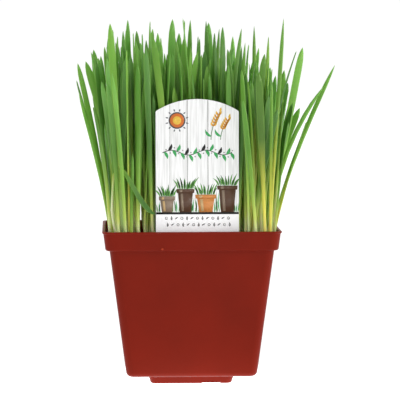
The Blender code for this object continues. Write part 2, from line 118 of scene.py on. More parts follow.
def grid_faces(rows, columns, closed):
    """Four corners for each cell of a grid of points, row by row. Closed joins the last column to the
    first, so that each row runs round a ring."""
    r = np.arange(rows - 1)[:, None] * columns
    c = np.arange(columns if closed else columns - 1)[None, :]
    n = (c + 1) % columns
    return np.stack([r + c, r + n, r + columns + n, r + columns + c], axis=-1).reshape(-1, 4)


def new_piece(name, points, faces, material=None):
    """An object at the origin whose mesh holds the points, with smooth shading."""
    mesh = bpy.data.meshes.new(name)
    mesh.from_pydata(np.reshape(points, (-1, 3)).tolist(), [], [list(face) for face in faces])
    mesh.shade_smooth()
    piece = bpy.data.objects.new(name, mesh)
    bpy.context.scene.collection.objects.link(piece)
    if material:
        mesh.materials.append(material)
    return piece


def tube_solid(name, rings, material=None):
    """A closed solid through rings of points, an array of rings by points by 3, with flat end caps. The
    rings run counterclockwise seen from the last one."""
    rows, columns = rings.shape[:2]
    sides = grid_faces(rows, columns, closed=True).tolist()
    caps = [list(range(columns))[::-1], list(range((rows - 1) * columns, rows * columns))]
    return new_piece(name, rings, sides + caps, material)


def arc(half, corner, z, radius, start, stop, steps=6, out=-1, up=1):
    """Rows of half width, corner radius and height round an edge of the profile. The centre is a radius in
    or out of the edge and above or below it, and the point turns round it by an angle in degrees."""
    angle = np.radians(np.linspace(start, stop, steps + 1))
    across = radius * np.cos(angle)
    rise = z + up * radius + radius * np.sin(angle)
    return np.stack([half + out * radius + across, corner + out * radius + across, rise], axis=-1)


def rounded_squares(profile, side_steps=1):
    """Rings round a square with rounded corners, one for each row of half width, corner radius and
    height. A corner point is (half - corner) times the corner's signs plus corner times a direction."""
    half, corner, z = (profile[:, i, None, None] for i in range(3))
    quarter = np.radians(90 * np.arange(4))[:, None]
    turn = quarter + np.radians(np.linspace(0, 90, CORNER_STEPS + 1))[None, :]
    middle = quarter + np.radians(45)
    x = (half - corner) * np.sqrt(2) * np.cos(middle) + corner * np.cos(turn)
    y = (half - corner) * np.sqrt(2) * np.sin(middle) + corner * np.sin(turn)
    ring = np.stack([x, y, np.broadcast_to(z, x.shape)], axis=-1)
    if side_steps > 1:
        share = (np.arange(1, side_steps) / side_steps)[None, None, :, None]
        ends = ring[:, :, -1:, :]
        starts = np.roll(ring, -1, axis=1)[:, :, :1, :]
        ring = np.concatenate([ring, ends + (starts - ends) * share], axis=2)
    return ring.reshape(len(profile), -1, 3)


def rods(name, middles, axes, radius, length, sides=28):
    """Cylinders with given middles and unit axes, as one mesh: middle + axis * end + radius * spoke."""
    points, faces = [], []
    angle = np.linspace(0, 2 * np.pi, sides, endpoint=False)[:, None]
    for middle, axis in zip(np.array(middles), np.array(axes, float)):
        across = np.array(Vector(axis).orthogonal().normalized())
        spokes = np.cos(angle) * across + np.sin(angle) * np.cross(axis, across)
        start = len(points) * 2 * sides
        points.append([middle + axis * end + radius * spokes for end in (-length / 2, length / 2)])
        caps = [list(range(start, start + sides))[::-1], list(range(start + sides, start + 2 * sides))]
        faces += (grid_faces(2, sides, closed=True) + start).tolist() + caps
    return new_piece(name, np.array(points), faces)


def apply_booleans(piece, steps):
    """Joins helpers to a piece or cuts them out, in order, then keeps the result and drops the helpers."""
    for operation, helper in steps:
        modifier = piece.modifiers.new(helper.name, "BOOLEAN")
        modifier.operation = operation
        modifier.object = helper
    bpy.context.view_layer.update()
    made = bpy.data.meshes.new_from_object(piece.evaluated_get(bpy.context.evaluated_depsgraph_get()))
    piece.modifiers.clear()
    piece.data = made
    for _, helper in steps:
        bpy.data.objects.remove(helper)


def even_shading(piece, angle):
    """Smooth over rounded edges, sharp past an angle, with flat faces kept flat by weighted normals."""
    piece.data.shade_smooth()
    piece.data.set_sharp_from_angle(angle=math.radians(angle))
    weighted = piece.modifiers.new("flat faces stay flat", "WEIGHTED_NORMAL")
    weighted.keep_sharp = True


def body_half(z):
    """Half the body's width outside at a height, a straight taper from the band to the base."""
    return BODY_FOOT_HALF + (BODY_TOP_HALF - BODY_FOOT_HALF) * (z - FOOT_HEIGHT) / (BAND_FOOT - FOOT_HEIGHT)


def foot_half(z):
    """Half the foot's width outside at a height, a straight taper from its top to its rounding."""
    return FOOT_HALF + (FOOT_TOP_HALF - FOOT_HALF) * (z - FOOT_ROUNDING) / (FOOT_HEIGHT - FOOT_ROUNDING)


def foot_cavity(name, clearance):
    """The space inside the foot up into the cavity, or the soil in it when drawn in by a clearance."""
    z = np.array((FOOT_FLOOR + clearance, FLOOR_TOP + FLOOR))
    inset = FOOT_WALL + clearance
    profile = np.stack([foot_half(z) - inset, FOOT_CORNER - inset + 0 * z, z], -1)
    return tube_solid(name, rounded_squares(profile))


def cavity_foot(clearance=0.0):
    """The inside's profile up its rounded bottom, drawn in by a clearance."""
    half = body_half(FLOOR_TOP) - WALL - clearance
    return arc(half, BODY_CORNER - WALL, FLOOR_TOP + clearance, BASE_ROUNDING - WALL, -90, -DRAFT)


outside = [
    *arc(BODY_FOOT_HALF, BODY_CORNER, FOOT_HEIGHT, BASE_ROUNDING, -90, -DRAFT, 8),
    *arc(BODY_TOP_HALF, BODY_CORNER, BAND_FOOT, -LEDGE_FILLET, 0, -90, 4),
    *arc(BAND_FOOT_HALF, BAND_CORNER, BAND_FOOT, BAND_ROUNDING, -90, -6),
    (BAND_TOP_HALF, BAND_CORNER, POT_HEIGHT - 3 * LIP_BEAD),
    *arc(RIM_HALF, BAND_CORNER, POT_HEIGHT, LIP_BEAD, -50, 90, up=-1),
]
inside = [
    *arc(BAND_TOP_HALF - WALL, BAND_CORNER - WALL, POT_HEIGHT, LIP_BEAD, 90, 180, 3, out=1, up=-1),
    (BAND_FOOT_HALF - WALL, BAND_CORNER - WALL, BAND_FOOT + WALL),
    *arc(BODY_TOP_HALF - WALL, BODY_CORNER - WALL, BAND_FOOT + WALL, LIP_BEAD, 90, 180, 3, out=1, up=-1),
    *cavity_foot()[::-1],
]
pot = tube_solid("moulded_pot", rounded_squares(np.array(outside + inside)))
foot_top = FOOT_HEIGHT + FLOOR / 2
foot_side = arc(FOOT_HALF, FOOT_CORNER, 0, FOOT_ROUNDING, -90, 0)
foot_side = np.append(foot_side, [(foot_half(foot_top), FOOT_CORNER, foot_top)], axis=0)
foot = tube_solid("foot", rounded_squares(foot_side))
foot_hollow = foot_cavity("foot_hollow", 0.0)
drain_places = [
    (x * distance, y * distance, z)
    for distance, z in ((CORNER_DRAIN, foot_top), (MIDDLE_DRAIN, FOOT_FLOOR / 2))
    for x, y in ((-1, -1), (-1, 1), (1, -1), (1, 1))
]
drains = rods("drains", drain_places, [(0, 0, 1)] * 8, DRAIN_RADIUS, 2 * FOOT_FLOOR)
groove_radius = (GROOVE_WIDTH**2 / 4 + GROOVE_DEPTH**2) / (2 * GROOVE_DEPTH)
x, y, z = GROOVE_OFFSET, FOOT_HALF, GROOVE_DEPTH - groove_radius
groove_places = [(x, -y, z), (y, x, z), (-x, y, z), (-y, -x, z)]
grooves = rods("grooves", groove_places, [(0, 1, 0), (1, 0, 0)] * 2, groove_radius, GROOVE_LENGTH, sides=96)
apply_booleans(
    pot, [("UNION", foot), ("DIFFERENCE", foot_hollow), ("DIFFERENCE", drains), ("DIFFERENCE", grooves)]
)
even_shading(pot, 40)

# Moulded polypropylene: a satin skin whose fine spark-eroded grain scatters the highlight, with faint
# cloudy flow marks where the melt met. The grain, 0.1 mm on the real pot, is drawn at 0.6 mm to show.
GRAIN, FLOW_MARK = 0.6 * MM, 28 * MM
polypropylene, tree, surface = new_material(
    "moulded_polypropylene", IOR=1.49, Specular_IOR_Level=0.10, Roughness=0.42
)
place = add_node(tree, "TexCoord", "Object")
flow = add_node(tree, "TexNoise", "Fac", {"Vector": place, "Scale": 1 / FLOW_MARK, "Detail": 3.0})
tint = add_node(tree, "ValToRGB", "Color", {"Fac": flow}, ((0.3, POT_RED_DEEP), (0.7, POT_RED)))
satin = add_node(tree, "MapRange", "Result", {"Value": flow, "To Min": 0.38, "To Max": 0.46})
grain = add_node(tree, "TexNoise", "Fac", {"Vector": place, "Scale": 1 / GRAIN, "Detail": 2.0})
skin = add_node(tree, "Bump", "Normal", {"Height": grain, "Strength": 0.12, "Distance": 0.1 * MM})
set_inputs(surface, {"Base Color": tint, "Roughness": satin, "Normal": skin})
pot.data.materials.clear()
pot.data.materials.append(polypropylene)
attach(pot, "root")
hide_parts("pot")

# Torn polypropylene: where the sprue broke off, the plastic is stress-whitened and rough, and its light
# orange is in part a painted highlight on the mark.
TEAR = 0.5 * MM
# Its light orange is partly real stress-whitening and partly a painted highlight.
torn_and_highlit, tree, surface = new_material("torn_polypropylene_painted_highlight", IOR=1.49, Specular_IOR_Level=0.2, Roughness=0.7)
place = add_node(tree, "TexCoord", "Object")
tear = add_node(tree, "TexNoise", "Fac", {"Vector": place, "Scale": 1 / TEAR, "Detail": 3.0})
tint = add_node(tree, "ValToRGB", "Color", {"Fac": tear}, ((0.3, TORN_HIGHLIGHT_DEEP), (0.7, TORN_HIGHLIGHT_LIGHT)))
set_inputs(surface, {"Base Color": tint})
rise = GATE_MARK_RISE * np.array((0.0, 0.45, 0.8, 1.0))[:, None]
spread = GATE_MARK_RADIUS * np.array((1.0, 0.92, 0.7, 0.25))[:, None]
turn = np.linspace(0, 2 * np.pi, 16, endpoint=False)
mark_x, mark_z = GATE_MARK[0] + spread * np.cos(turn), GATE_MARK[1] + spread * np.sin(turn)
mark_y = -(BAND_FOOT_HALF - 0.1 * MM + rise) + 0 * turn
gate_mark = tube_solid("gate_mark", np.stack([mark_x, mark_y, mark_z], -1), torn_and_highlit)
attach(gate_mark, "root")

# The soil
# Damp peat-based potting soil, pressed in to a finger's breadth below the rim, with a few grains of white
# perlite in it. It fills the pot down into the hollow foot, and the label's stake is pushed into it.

GAP = 0.3 * MM
SOIL_TOP, SOIL_EDGE, SOIL_EDGE_DROP = 84.0 * MM, 9 * MM, 1.5 * MM
SOIL_LUMP, SOIL_RELIEF, SOIL_SETTLED = 4 * MM, 0.5 * MM, 0.2 * MM
MAT_HALF, MAT_BEHIND_LABEL, BARE_BY_LABEL = 48.6 * MM, -43.0 * MM, 28.5 * MM
SOIL_CRUMBS, CRUMB_SIZE, PERLITE_GRAINS, PERLITE_SIZE, HALF_SUNK = 900, 2.0 * MM, 70, 2.2 * MM, 0.9 * MM
SOIL_DARK, SOIL_BROWN, SOIL_FIBRE, PERLITE_WHITE = "#1C130D", "#33231A", "#5A4330", "#C9C3B5"


def lumps(x, y, size, seed):
    """A smooth random relief from -1 to 1: the mean of six waves whose length is about the size, each
    turned its own way."""
    draw = np.random.default_rng(seed)
    angle = draw.uniform(0, 2 * np.pi, 6)
    phase = draw.uniform(0, 2 * np.pi, 6)
    pitch = 2 * np.pi / (size * draw.uniform(0.7, 1.5, 6))
    waves = [np.sin(p * (x * np.cos(a) + y * np.sin(a)) + f) for a, f, p in zip(angle, phase, pitch)]
    return np.mean(waves, axis=0) * 1.8


soil_wall = body_half(SOIL_TOP) - WALL - GAP
soil_corner = BODY_CORNER - WALL
inward = np.linspace(0, 1, 6)
border_z = SOIL_TOP - SOIL_EDGE_DROP * (1 - inward)
soil_border = np.stack([soil_wall - GAP - inward * SOIL_EDGE, soil_corner + 0 * inward, border_z], -1)
soil_rings = rounded_squares(np.concatenate([cavity_foot(GAP), soil_border]), side_steps=48)
relief = lumps(soil_rings[-5:, :, 0], soil_rings[-5:, :, 1], SOIL_LUMP, seed=3)
soil_rings[-5:, :, 2] += relief * SOIL_RELIEF * np.linspace(1, 0, 5)[:, None] - SOIL_SETTLED
soil = tube_solid("potting_soil", soil_rings)
apply_booleans(soil, [("UNION", foot_cavity("soil_in_foot", GAP))])

# Peat: almost black when damp, with browner crumbs, matt all over.
CRUMB_PITCH = 1.6 * MM
peat, tree, surface = new_material("damp_peat", Roughness=0.95, Specular_IOR_Level=0.25)
place = add_node(tree, "TexCoord", "Object")
crumb = add_node(tree, "TexNoise", "Fac", {"Vector": place, "Scale": 1 / CRUMB_PITCH, "Detail": 6.0})
browns = ((0.3, SOIL_DARK), (0.62, SOIL_BROWN), (0.75, SOIL_FIBRE))
tint = add_node(tree, "ValToRGB", "Color", {"Fac": crumb}, browns)
skin = add_node(tree, "Bump", "Normal", {"Height": crumb, "Strength": 0.8, "Distance": 0.6 * MM})
set_inputs(surface, {"Base Color": tint, "Normal": skin})
soil.data.materials.append(peat)
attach(soil, "root")
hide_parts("soil")

# Perlite: puffed volcanic glass, chalky off-white.
perlite, _, _ = new_material("perlite", Roughness=0.85, Base_Color=linear(PERLITE_WHITE))


def turned_copies(shapes, axes, middles):
    """Points and faces of closed shapes, each rings by points by 3: turned by its axes, put at its place."""
    count, rows, columns = shapes.shape[:3]
    placed = np.einsum("nrcj,nij->nrci", shapes, axes) + middles[:, None, None, :]
    faces = grid_faces(rows, columns, closed=True) + rows * columns * np.arange(count)[:, None, None]
    return placed.reshape(-1, 3), faces.reshape(-1, 4)


def pebbles(middles, radii, seed):
    """Points and faces of small uneven lumps: a ball of 5 by 7 points for each, every point pushed in or
    out by up to a quarter, squashed, and turned its own way."""
    draw = np.random.default_rng(seed)
    count = len(radii)
    up = np.radians(np.linspace(-90, 90, 5))[:, None]
    turn = np.linspace(0, 2 * np.pi, 7, endpoint=False)[None, :]
    ball = np.stack([np.cos(up) * np.cos(turn), np.cos(up) * np.sin(turn), np.sin(up) + 0 * turn], -1)
    push = draw.uniform(0.75, 1.25, (count, 5, 7, 1))
    push[:, [0, -1]] = 1.0
    stretch = draw.uniform(0.6, 1.2, (count, 1, 1, 3))
    axes = np.linalg.qr(draw.normal(size=(count, 3, 3)))[0]
    axes *= np.linalg.det(axes)[:, None, None]
    return turned_copies(ball * push * stretch * radii[:, None, None, None], axes, middles)


def on_soil_border(count, seed):
    """Random places on the strip of soil that the seed mat leaves bare, along the walls and in front."""
    draw = np.random.default_rng(seed)
    reach = soil_wall - 0.9 * MM
    mat_edge = MAT_HALF - 1.2 * MM
    spots = draw.uniform(-reach, reach, (count * 40, 2))
    x, y = spots.T
    bare = (np.abs(x) > mat_edge) | (np.abs(y) > mat_edge)
    bare |= (y < MAT_BEHIND_LABEL - 0.3 * MM) & (np.abs(x) < BARE_BY_LABEL)
    over = np.maximum(np.abs(spots) - (reach - soil_corner), 0)
    bare &= np.hypot(*over.T) < soil_corner
    return spots[bare][:count]


# The crumbs and the perlite lie half sunk in the bare strip of soil.
for name, count, size, seed, material in (
    ("soil_crumbs", SOIL_CRUMBS, CRUMB_SIZE, 11, peat),
    ("perlite_grains", PERLITE_GRAINS, PERLITE_SIZE, 17, perlite),
):
    spots = on_soil_border(count, seed)
    radii = np.random.default_rng(seed + 1).uniform(0.35, 1.0, len(spots)) * size / 2
    rise = SOIL_TOP - HALF_SUNK + 0.3 * radii
    points, faces = pebbles(np.column_stack([spots, rise]), radii, seed + 2)
    scattered = new_piece(name, points, faces, material)
    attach(scattered, "root")

# The wheatgrass: where each blade stands and how it bends
# Sprouted wheat, sown seed against seed. Each blade rises from its seed on one smooth bend and keeps clear
# of its neighbours. The rule, its values and the order of its draws are those of the model's source.

MAT_THICKNESS, MAT_CORNER_CUT, MAT_SLOPE = 4.2 * MM, 3.0 * MM, 0.3 * MM
CLUMP_COLUMNS, CLUMP_ROWS, CLUMP_GAP = 5, 5, 0.4 * MM
SEEDS_ACROSS, SEED_JITTER, SEED_MARGIN = 4, 1.7 * MM, 1.7 * MM
ROOT_DEPTH = 3.0 * MM
STEM_WIDTH, STEM_THICKNESS = 2.1 * MM, 1.5 * MM
LEAF_STARTS, LEAF_OPEN, TIP_STARTS, TIP_POWER = 0.15, 0.75, 0.82, 2.2
LEAF_THICKNESS, TIP_THICKNESS = 0.8 * MM, 0.65 * MM
RULE_SECTIONS = np.array((0.0, 0.12, 0.45, 0.82, 0.94))
BLADE_WIDTH, BLADE_WIDTH_SPREAD = 4.3 * MM, 0.7 * MM
BLADE_WIDTH_LEAST, BLADE_WIDTH_MOST = 2.9 * MM, 5.5 * MM
RISE, RISE_SPREAD, RISE_LEAST, RISE_MOST = 118.0 * MM, 11.5 * MM, 80.0 * MM, 144.0 * MM
RISE_LOST_AT_EDGE, RISE_LOST_AT_RIGHT = 8.0 * MM, 15.0 * MM
SPREAD_TO_RIM, SPREAD_ENDS = 4.0 * MM, 0.12
LEAN_TO_RIGHT, FAN_OUT, LEAN_SPREAD = 1.0 * MM, 4.0 * MM, 8.5 * MM
BOW_LEAST, BOW_MOST, TWIST_SPREAD, TWIST_MOST = 0.95, 2.10, 28.0, 60.0
CLEARANCE = 0.35 * MM
TRIES, CALM_AFTER_TRIES, GRASS_SEED = 60, 0.6, 24
MAT_FOOT = SOIL_TOP + GAP
MAT_TOP = MAT_FOOT + MAT_THICKNESS
ROOT_Z = MAT_TOP - ROOT_DEPTH
CLUMPS = [(column, row) for column in range(CLUMP_COLUMNS) for row in range(CLUMP_ROWS)]

# The blades that stand out in front or in the outline: root x and y, tip x and y, rise, bow, droop,
# facing and twist in degrees, and width, lengths in millimetres. The fifth one bends over and hangs.
STANDOUT_BLADES = (
    (-46.2, -20.0, -70.5, -28.0, 116.5, 1.35, 0.0, 20, 10, 4.2),
    (-46.0, -31.0, -69.5, -42.0, 98.0, 1.45, 0.0, 15, 20, 3.4),
    (-45.5, 3.0, -60.0, -5.0, 120.0, 1.50, 0.0, 10, 15, 4.0),
    (-39.5, -42.0, -50.2, -45.5, 141.0, 1.20, 0.0, 8, 5, 5.0),
    (-46.0, -45.5, -22.6, -52.0, 23.5, 2.40, 9.8, 90, -70, 4.2),
    (46.2, -21.0, 90.5, -26.0, 115.0, 1.38, 0.0, -15, -20, 3.4),
    (46.0, -33.0, 82.2, -43.0, 102.0, 2.30, 0.0, -20, 10, 3.0),
    (45.5, -7.0, 71.5, -10.0, 126.0, 1.10, 0.0, 5, 15, 5.4),
    (45.5, 6.0, 72.5, 12.0, 114.0, 1.55, 0.0, -25, 10, 3.4),
    (44.0, -43.0, 56.8, -47.0, 144.0, 1.05, 0.0, 12, -30, 2.9),
    (35.0, -45.0, 53.0, -50.0, 88.0, 1.60, 0.0, 5, 10, 5.0),
    (33.0, -37.0, 45.5, -40.5, 122.0, 1.50, 0.0, -8, 20, 5.0),
    (-36.0, 13.5, -41.9, 15.0, 137.0, 1.20, 0.0, 15, 20, 3.8),
    (-14.0, -10.0, -10.9, -14.0, 144.0, 1.10, 0.0, 5, 10, 5.4),
    (-2.0, 5.0, 1.0, 9.0, 144.0, 1.30, 0.0, -20, 25, 3.6),
    (12.8, -15.0, 10.0, -18.0, 143.0, 1.20, 0.0, 10, -15, 3.6),
    (13.0, 3.0, 12.4, 2.0, 142.0, 1.00, 0.0, -5, 10, 5.4),
    (18.0, -28.5, 20.0, -30.0, 139.0, 1.10, 0.0, 15, 10, 4.2),
    (39.0, 6.0, 41.7, 6.0, 140.0, 1.00, 0.0, -5, 25, 3.0),
    (42.0, -24.0, 48.8, -28.0, 133.0, 1.30, 0.0, 20, 15, 3.2),
)

# The label's place, which the blades keep clear of
LABEL_X, LABEL_Y, LABEL_THICKNESS = 3.4 * MM, -45.5 * MM, 0.7 * MM
LABEL_WIDTH, LABEL_TOP, LABEL_ARCH = 51.5 * MM, 179.7 * MM, 7.5 * MM
LABEL_SHOULDER_TOP, LABEL_SHOULDER_FOOT = 94.5 * MM, 87.5 * MM
LABEL_STAKE_WIDTH, LABEL_TAPER_TOP = 18.0 * MM, 72.0 * MM
LABEL_POINT, LABEL_POINT_WIDTH = 62.0 * MM, 4.0 * MM
LABEL_CLEAR_IN_FRONT, RULE_ARCH_STEPS = 30.0 * MM, 12

Blade = namedtuple("Blade", "root reach rise bow droop facing twist width")


def smoothstep(low, high, value):
    """0 below low, 1 above high, and 3 t squared - 2 t cubed between."""
    share = np.clip((value - low) / (high - low), 0.0, 1.0)
    return share * share * (3 - 2 * share)


def spine(blade, s):
    """Points on a blade's middle line at shares s of its length. Outward, it is the root, spread towards
    the rim by a smooth step, plus reach times s to the power bow. Upward, it is rise times
    s (1 + droop (1 - s) to the power 1.5), so that one with a droop bends over and hangs."""
    spread = 1 + SPREAD_TO_RIM / MAT_HALF * smoothstep(0.0, SPREAD_ENDS, s)
    run = s**blade.bow
    lift = s * (1 + blade.droop * (1 - s) ** 1.5)
    x = blade.root[0] * spread + blade.reach[0] * run
    y = blade.root[1] * spread + blade.reach[1] * run
    return np.stack([x, y, ROOT_Z + blade.rise * lift], axis=-1)


def blade_frame(blade, s):
    """Unit vectors across a blade and out of its face at shares s: the facing direction made square to
    the line's slope, and the cross product of the slope and that."""
    along = spine(blade, np.minimum(s + 0.01, 1.0)) - spine(blade, np.maximum(s - 0.01, 0.0))
    along /= np.linalg.norm(along, axis=-1, keepdims=True)
    angle = np.radians(blade.facing + blade.twist * s)
    across = np.stack([np.cos(angle), np.sin(angle), 0 * angle], axis=-1)
    across -= along * np.sum(across * along, axis=-1, keepdims=True)
    across /= np.linalg.norm(across, axis=-1, keepdims=True)
    return across, np.cross(along, across)


def blade_width(blade, s):
    """Stem width, widening to the leaf's by a smooth step, times 1 - t to the tip's power over the tip."""
    opened = STEM_WIDTH + (blade.width - STEM_WIDTH) * smoothstep(LEAF_STARTS, LEAF_OPEN, s)
    past = np.maximum(s - TIP_STARTS, 0.0) / (1 - TIP_STARTS)
    return opened * (1 - past**TIP_POWER)


def blade_thickness(s):
    """Stem thickness, thinning to the leaf's by a smooth step, and to the tip's by another."""
    leaf = STEM_THICKNESS + (LEAF_THICKNESS - STEM_THICKNESS) * smoothstep(0.0, LEAF_OPEN, s)
    return leaf + (TIP_THICKNESS - LEAF_THICKNESS) * smoothstep(TIP_STARTS, 1.0, s)


def loft_faces(rows, columns, tip=False):
    """Faces of a closed solid through rings, with each side split in two triangles, the last side the
    other way, so that a twisted blade's two faces can't cross. It ends in a cap, or in a tip point."""
    low = np.arange(rows - 1)[:, None] * columns
    i = np.arange(columns - 1)[None, :]
    high = low + columns
    sides = [
        np.stack([low + i, low + i + 1, high + i + 1], -1).reshape(-1, 3),
        np.stack([low + i, high + i + 1, high + i], -1).reshape(-1, 3),
        np.stack([high - 1, low, high + columns - 1], -1).reshape(-1, 3),
        np.stack([low, high, high + columns - 1], -1).reshape(-1, 3),
    ]
    faces = np.concatenate(sides).tolist() + [list(range(columns))[::-1]]
    last = (rows - 1) * columns
    if not tip:
        return faces + [list(range(last, last + columns))]
    return faces + [[last + i, last + (i + 1) % columns, last + columns] for i in range(columns)]


def blade_sides(blade, s, clearance=0.0):
    """The middle line, and the vectors from it to the blade's edge and to its face, with a clearance."""
    across, out = blade_frame(blade, s)
    across *= blade_width(blade, s)[:, None] / 2 + clearance
    out *= blade_thickness(s)[:, None] / 2 + clearance
    return spine(blade, s), across, out


def blade_solid(blade):
    """A blade with a three-sided section, two edges and the keel behind them, that ends in a point."""
    middle, across, out = blade_sides(blade, RULE_SECTIONS)
    rings = np.stack([middle - across + out, middle - out, middle + across + out], axis=1)
    points = np.concatenate([rings.reshape(-1, 3), spine(blade, np.ones(1))])
    return points, loft_faces(len(rings), 3, tip=True)


def blade_sheath(blade):
    """A four-sided sleeve round the blade that keeps the clearance from it."""
    middle, across, out = blade_sides(blade, np.append(RULE_SECTIONS, 1.0), CLEARANCE)
    west, east = middle - across, middle + across
    rings = np.stack([west + out, west - out, east - out, east + out], axis=1)
    return rings.reshape(-1, 3), loft_faces(len(rings), 4)


class Surroundings:
    """What stands in a new blade's way, as boxes for a first look and as search trees for the real one."""

    def __init__(self):
        self.boxes = []
        self.shapes = []

    def add(self, points, faces, owner=None):
        self.boxes.append((points.min(axis=0), points.max(axis=0)))
        self.shapes.append((BVHTree.FromPolygons(points.tolist(), faces), owner))

    def clear_of(self, points, faces, owner):
        """Whether a shape crosses nothing, apart from its owner's own piece of the mat."""
        lows, highs = np.swapaxes(self.boxes, 0, 1)
        apart = (lows > points.max(axis=0)) | (highs < points.min(axis=0))
        tree = BVHTree.FromPolygons(points.tolist(), faces)
        near = [self.shapes[i] for i in np.flatnonzero(~apart.any(axis=1))]
        return not any(other != owner and tree.overlap(shape) for shape, other in near)


def clump_edges(column, row):
    """The west, east, south and north edges of a clump's piece of the mat. The clumps behind the label
    stop short of it, and those at its sides reach as far forward as they reach back."""
    width = 2 * MAT_HALF / CLUMP_COLUMNS
    front = -MAT_HALF if column in (0, CLUMP_COLUMNS - 1) else MAT_BEHIND_LABEL
    depth = (MAT_HALF - front) / CLUMP_ROWS
    west = -MAT_HALF + width * column
    south = front + depth * row
    return west, west + width, south, south + depth


def clump_outline(column, row, inset):
    """Corners of a clump's piece of the mat, cut off where the pot's corner is round."""
    west, east, south, north = clump_edges(column, row)
    outline = []
    for number, (x, y) in enumerate(((east, south), (east, north), (west, north), (west, south))):
        inner_x = x - math.copysign(inset, x - (west + east) / 2)
        inner_y = y - math.copysign(inset, y - (south + north) / 2)
        if min(abs(x), abs(y)) <= MAT_HALF - GAP:
            outline.append((inner_x, inner_y))
            continue
        cut_x = inner_x - math.copysign(MAT_CORNER_CUT, x)
        cut_y = inner_y - math.copysign(MAT_CORNER_CUT, y)
        ends = [(cut_x, inner_y), (inner_x, cut_y)]
        outline.extend(ends[::-1] if number in (1, 3) else ends)
    return outline


def mat_piece(column, row):
    """The points and faces of a clump's piece of the mat, a low block that draws in towards its top."""
    heights = ((CLUMP_GAP / 2, MAT_FOOT), (CLUMP_GAP / 2 + MAT_SLOPE, MAT_TOP))
    rings = [[(x, y, z) for x, y in clump_outline(column, row, inset)] for inset, z in heights]
    return np.array(rings).reshape(-1, 3), loft_faces(2, len(rings[0]))


def label_outline(steps, round_corner=0.0):
    """The label's outline in x and z about its middle, up its right side, over the arch and down its
    left side. The arch is a circle through the shoulders and the top."""
    half = LABEL_WIDTH / 2
    stake = LABEL_STAKE_WIDTH / 2
    right = [
        (LABEL_POINT_WIDTH / 2, LABEL_POINT),
        (stake, LABEL_TAPER_TOP),
        (stake, LABEL_SHOULDER_FOOT),
        (half, LABEL_SHOULDER_TOP),
    ]
    radius = (half**2 + LABEL_ARCH**2) / (2 * LABEL_ARCH)
    spread = math.asin((half - round_corner) / radius)
    angle = spread * (1 - 2 * np.arange(steps + 1) / steps)
    arch = list(zip(radius * np.sin(angle), LABEL_TOP - radius + radius * np.cos(angle)))
    side = [(half, arch[0][1] - round_corner)] if round_corner else []
    left = [(-x, z) for x, z in (right + side)[::-1]]
    return np.array(right + side + arch + left)


def label_plate(outline, thickness, in_front=0.0):
    """The outline as a plate: one ring behind the label's middle plane and one in front of it."""
    sides = (LABEL_Y + thickness / 2, LABEL_Y - thickness / 2 - in_front)
    return np.array([[(LABEL_X + x, y, z) for x, z in outline] for y in sides])


def rule_pot():
    """The pot's walls in the few steps that the rule tests blades against."""
    floor_half = body_half(FLOOR_TOP) - WALL
    lip_height, lip_rounding = 1.2 * MM, 0.3 * MM
    profile = [
        *arc(BODY_FOOT_HALF, BODY_CORNER, FOOT_HEIGHT, BASE_ROUNDING, -90, 0, 3),
        (BODY_TOP_HALF, BODY_CORNER, BAND_FOOT),
        *arc(BAND_FOOT_HALF, BAND_CORNER, BAND_FOOT, BAND_ROUNDING, -90, 0, 3),
        (BAND_TOP_HALF, BAND_CORNER, POT_HEIGHT - lip_height),
        (RIM_HALF, BAND_CORNER, POT_HEIGHT - lip_height / 2),
        (RIM_HALF - lip_rounding, BAND_CORNER, POT_HEIGHT),
        (BAND_TOP_HALF - WALL, BAND_CORNER - WALL, POT_HEIGHT),
        (BAND_FOOT_HALF - WALL, BAND_CORNER - WALL, BAND_FOOT + WALL),
        (BODY_TOP_HALF - WALL, BODY_CORNER - WALL, BAND_FOOT + WALL),
        *arc(floor_half, BODY_CORNER - WALL, FLOOR_TOP, BASE_ROUNDING - WALL, -90, 0, 3)[::-1],
    ]
    rings = rounded_squares(np.array(profile))
    return rings.reshape(-1, 3), loft_faces(len(profile), rings.shape[1])


def random_root(draw, clump, x, y):
    """A place near a seed's, well inside its clump's piece of the mat."""
    west, east, south, north = clump_edges(*clump)
    x += draw.uniform(-SEED_JITTER, SEED_JITTER)
    y += draw.uniform(-SEED_JITTER, SEED_JITTER)
    lowest = (west + SEED_MARGIN, south + SEED_MARGIN)
    highest = (east - SEED_MARGIN, north - SEED_MARGIN)
    return np.clip((x, y), lowest, highest)


def random_blade(draw, root, calm):
    """A blade that leans outward the more it stands at the edge."""
    outward = root / MAT_HALF
    spread = LEAN_SPREAD * calm
    lean_x = LEAN_TO_RIGHT + FAN_OUT * outward[0] + draw.gauss(0, spread)
    lean_y = FAN_OUT * outward[1] + draw.gauss(0, spread)
    rise = draw.gauss(RISE, RISE_SPREAD) - RISE_LOST_AT_EDGE * (outward @ outward) / 2
    rise -= RISE_LOST_AT_RIGHT * smoothstep(0.4, 1.0, outward[0])
    width = draw.gauss(BLADE_WIDTH, BLADE_WIDTH_SPREAD)
    return Blade(
        root,
        np.array((lean_x, lean_y)),
        np.clip(rise, RISE_LEAST, RISE_MOST),
        draw.uniform(BOW_LEAST, BOW_MOST),
        0.0,
        draw.uniform(-90, 90),
        np.clip(draw.gauss(0, TWIST_SPREAD), -TWIST_MOST, TWIST_MOST),
        np.clip(width, BLADE_WIDTH_LEAST, BLADE_WIDTH_MOST),
    )


def seed_places(draw):
    """An even pattern of seeds over every clump, in an order drawn by lot."""
    places = []
    for clump in CLUMPS:
        west, east, south, north = clump_edges(*clump)
        for i in range(SEEDS_ACROSS * SEEDS_ACROSS):
            x = west + (east - west) * (i % SEEDS_ACROSS + 0.5) / SEEDS_ACROSS
            y = south + (north - south) * (i // SEEDS_ACROSS + 0.5) / SEEDS_ACROSS
            places.append((clump, x, y))
    draw.shuffle(places)
    return places


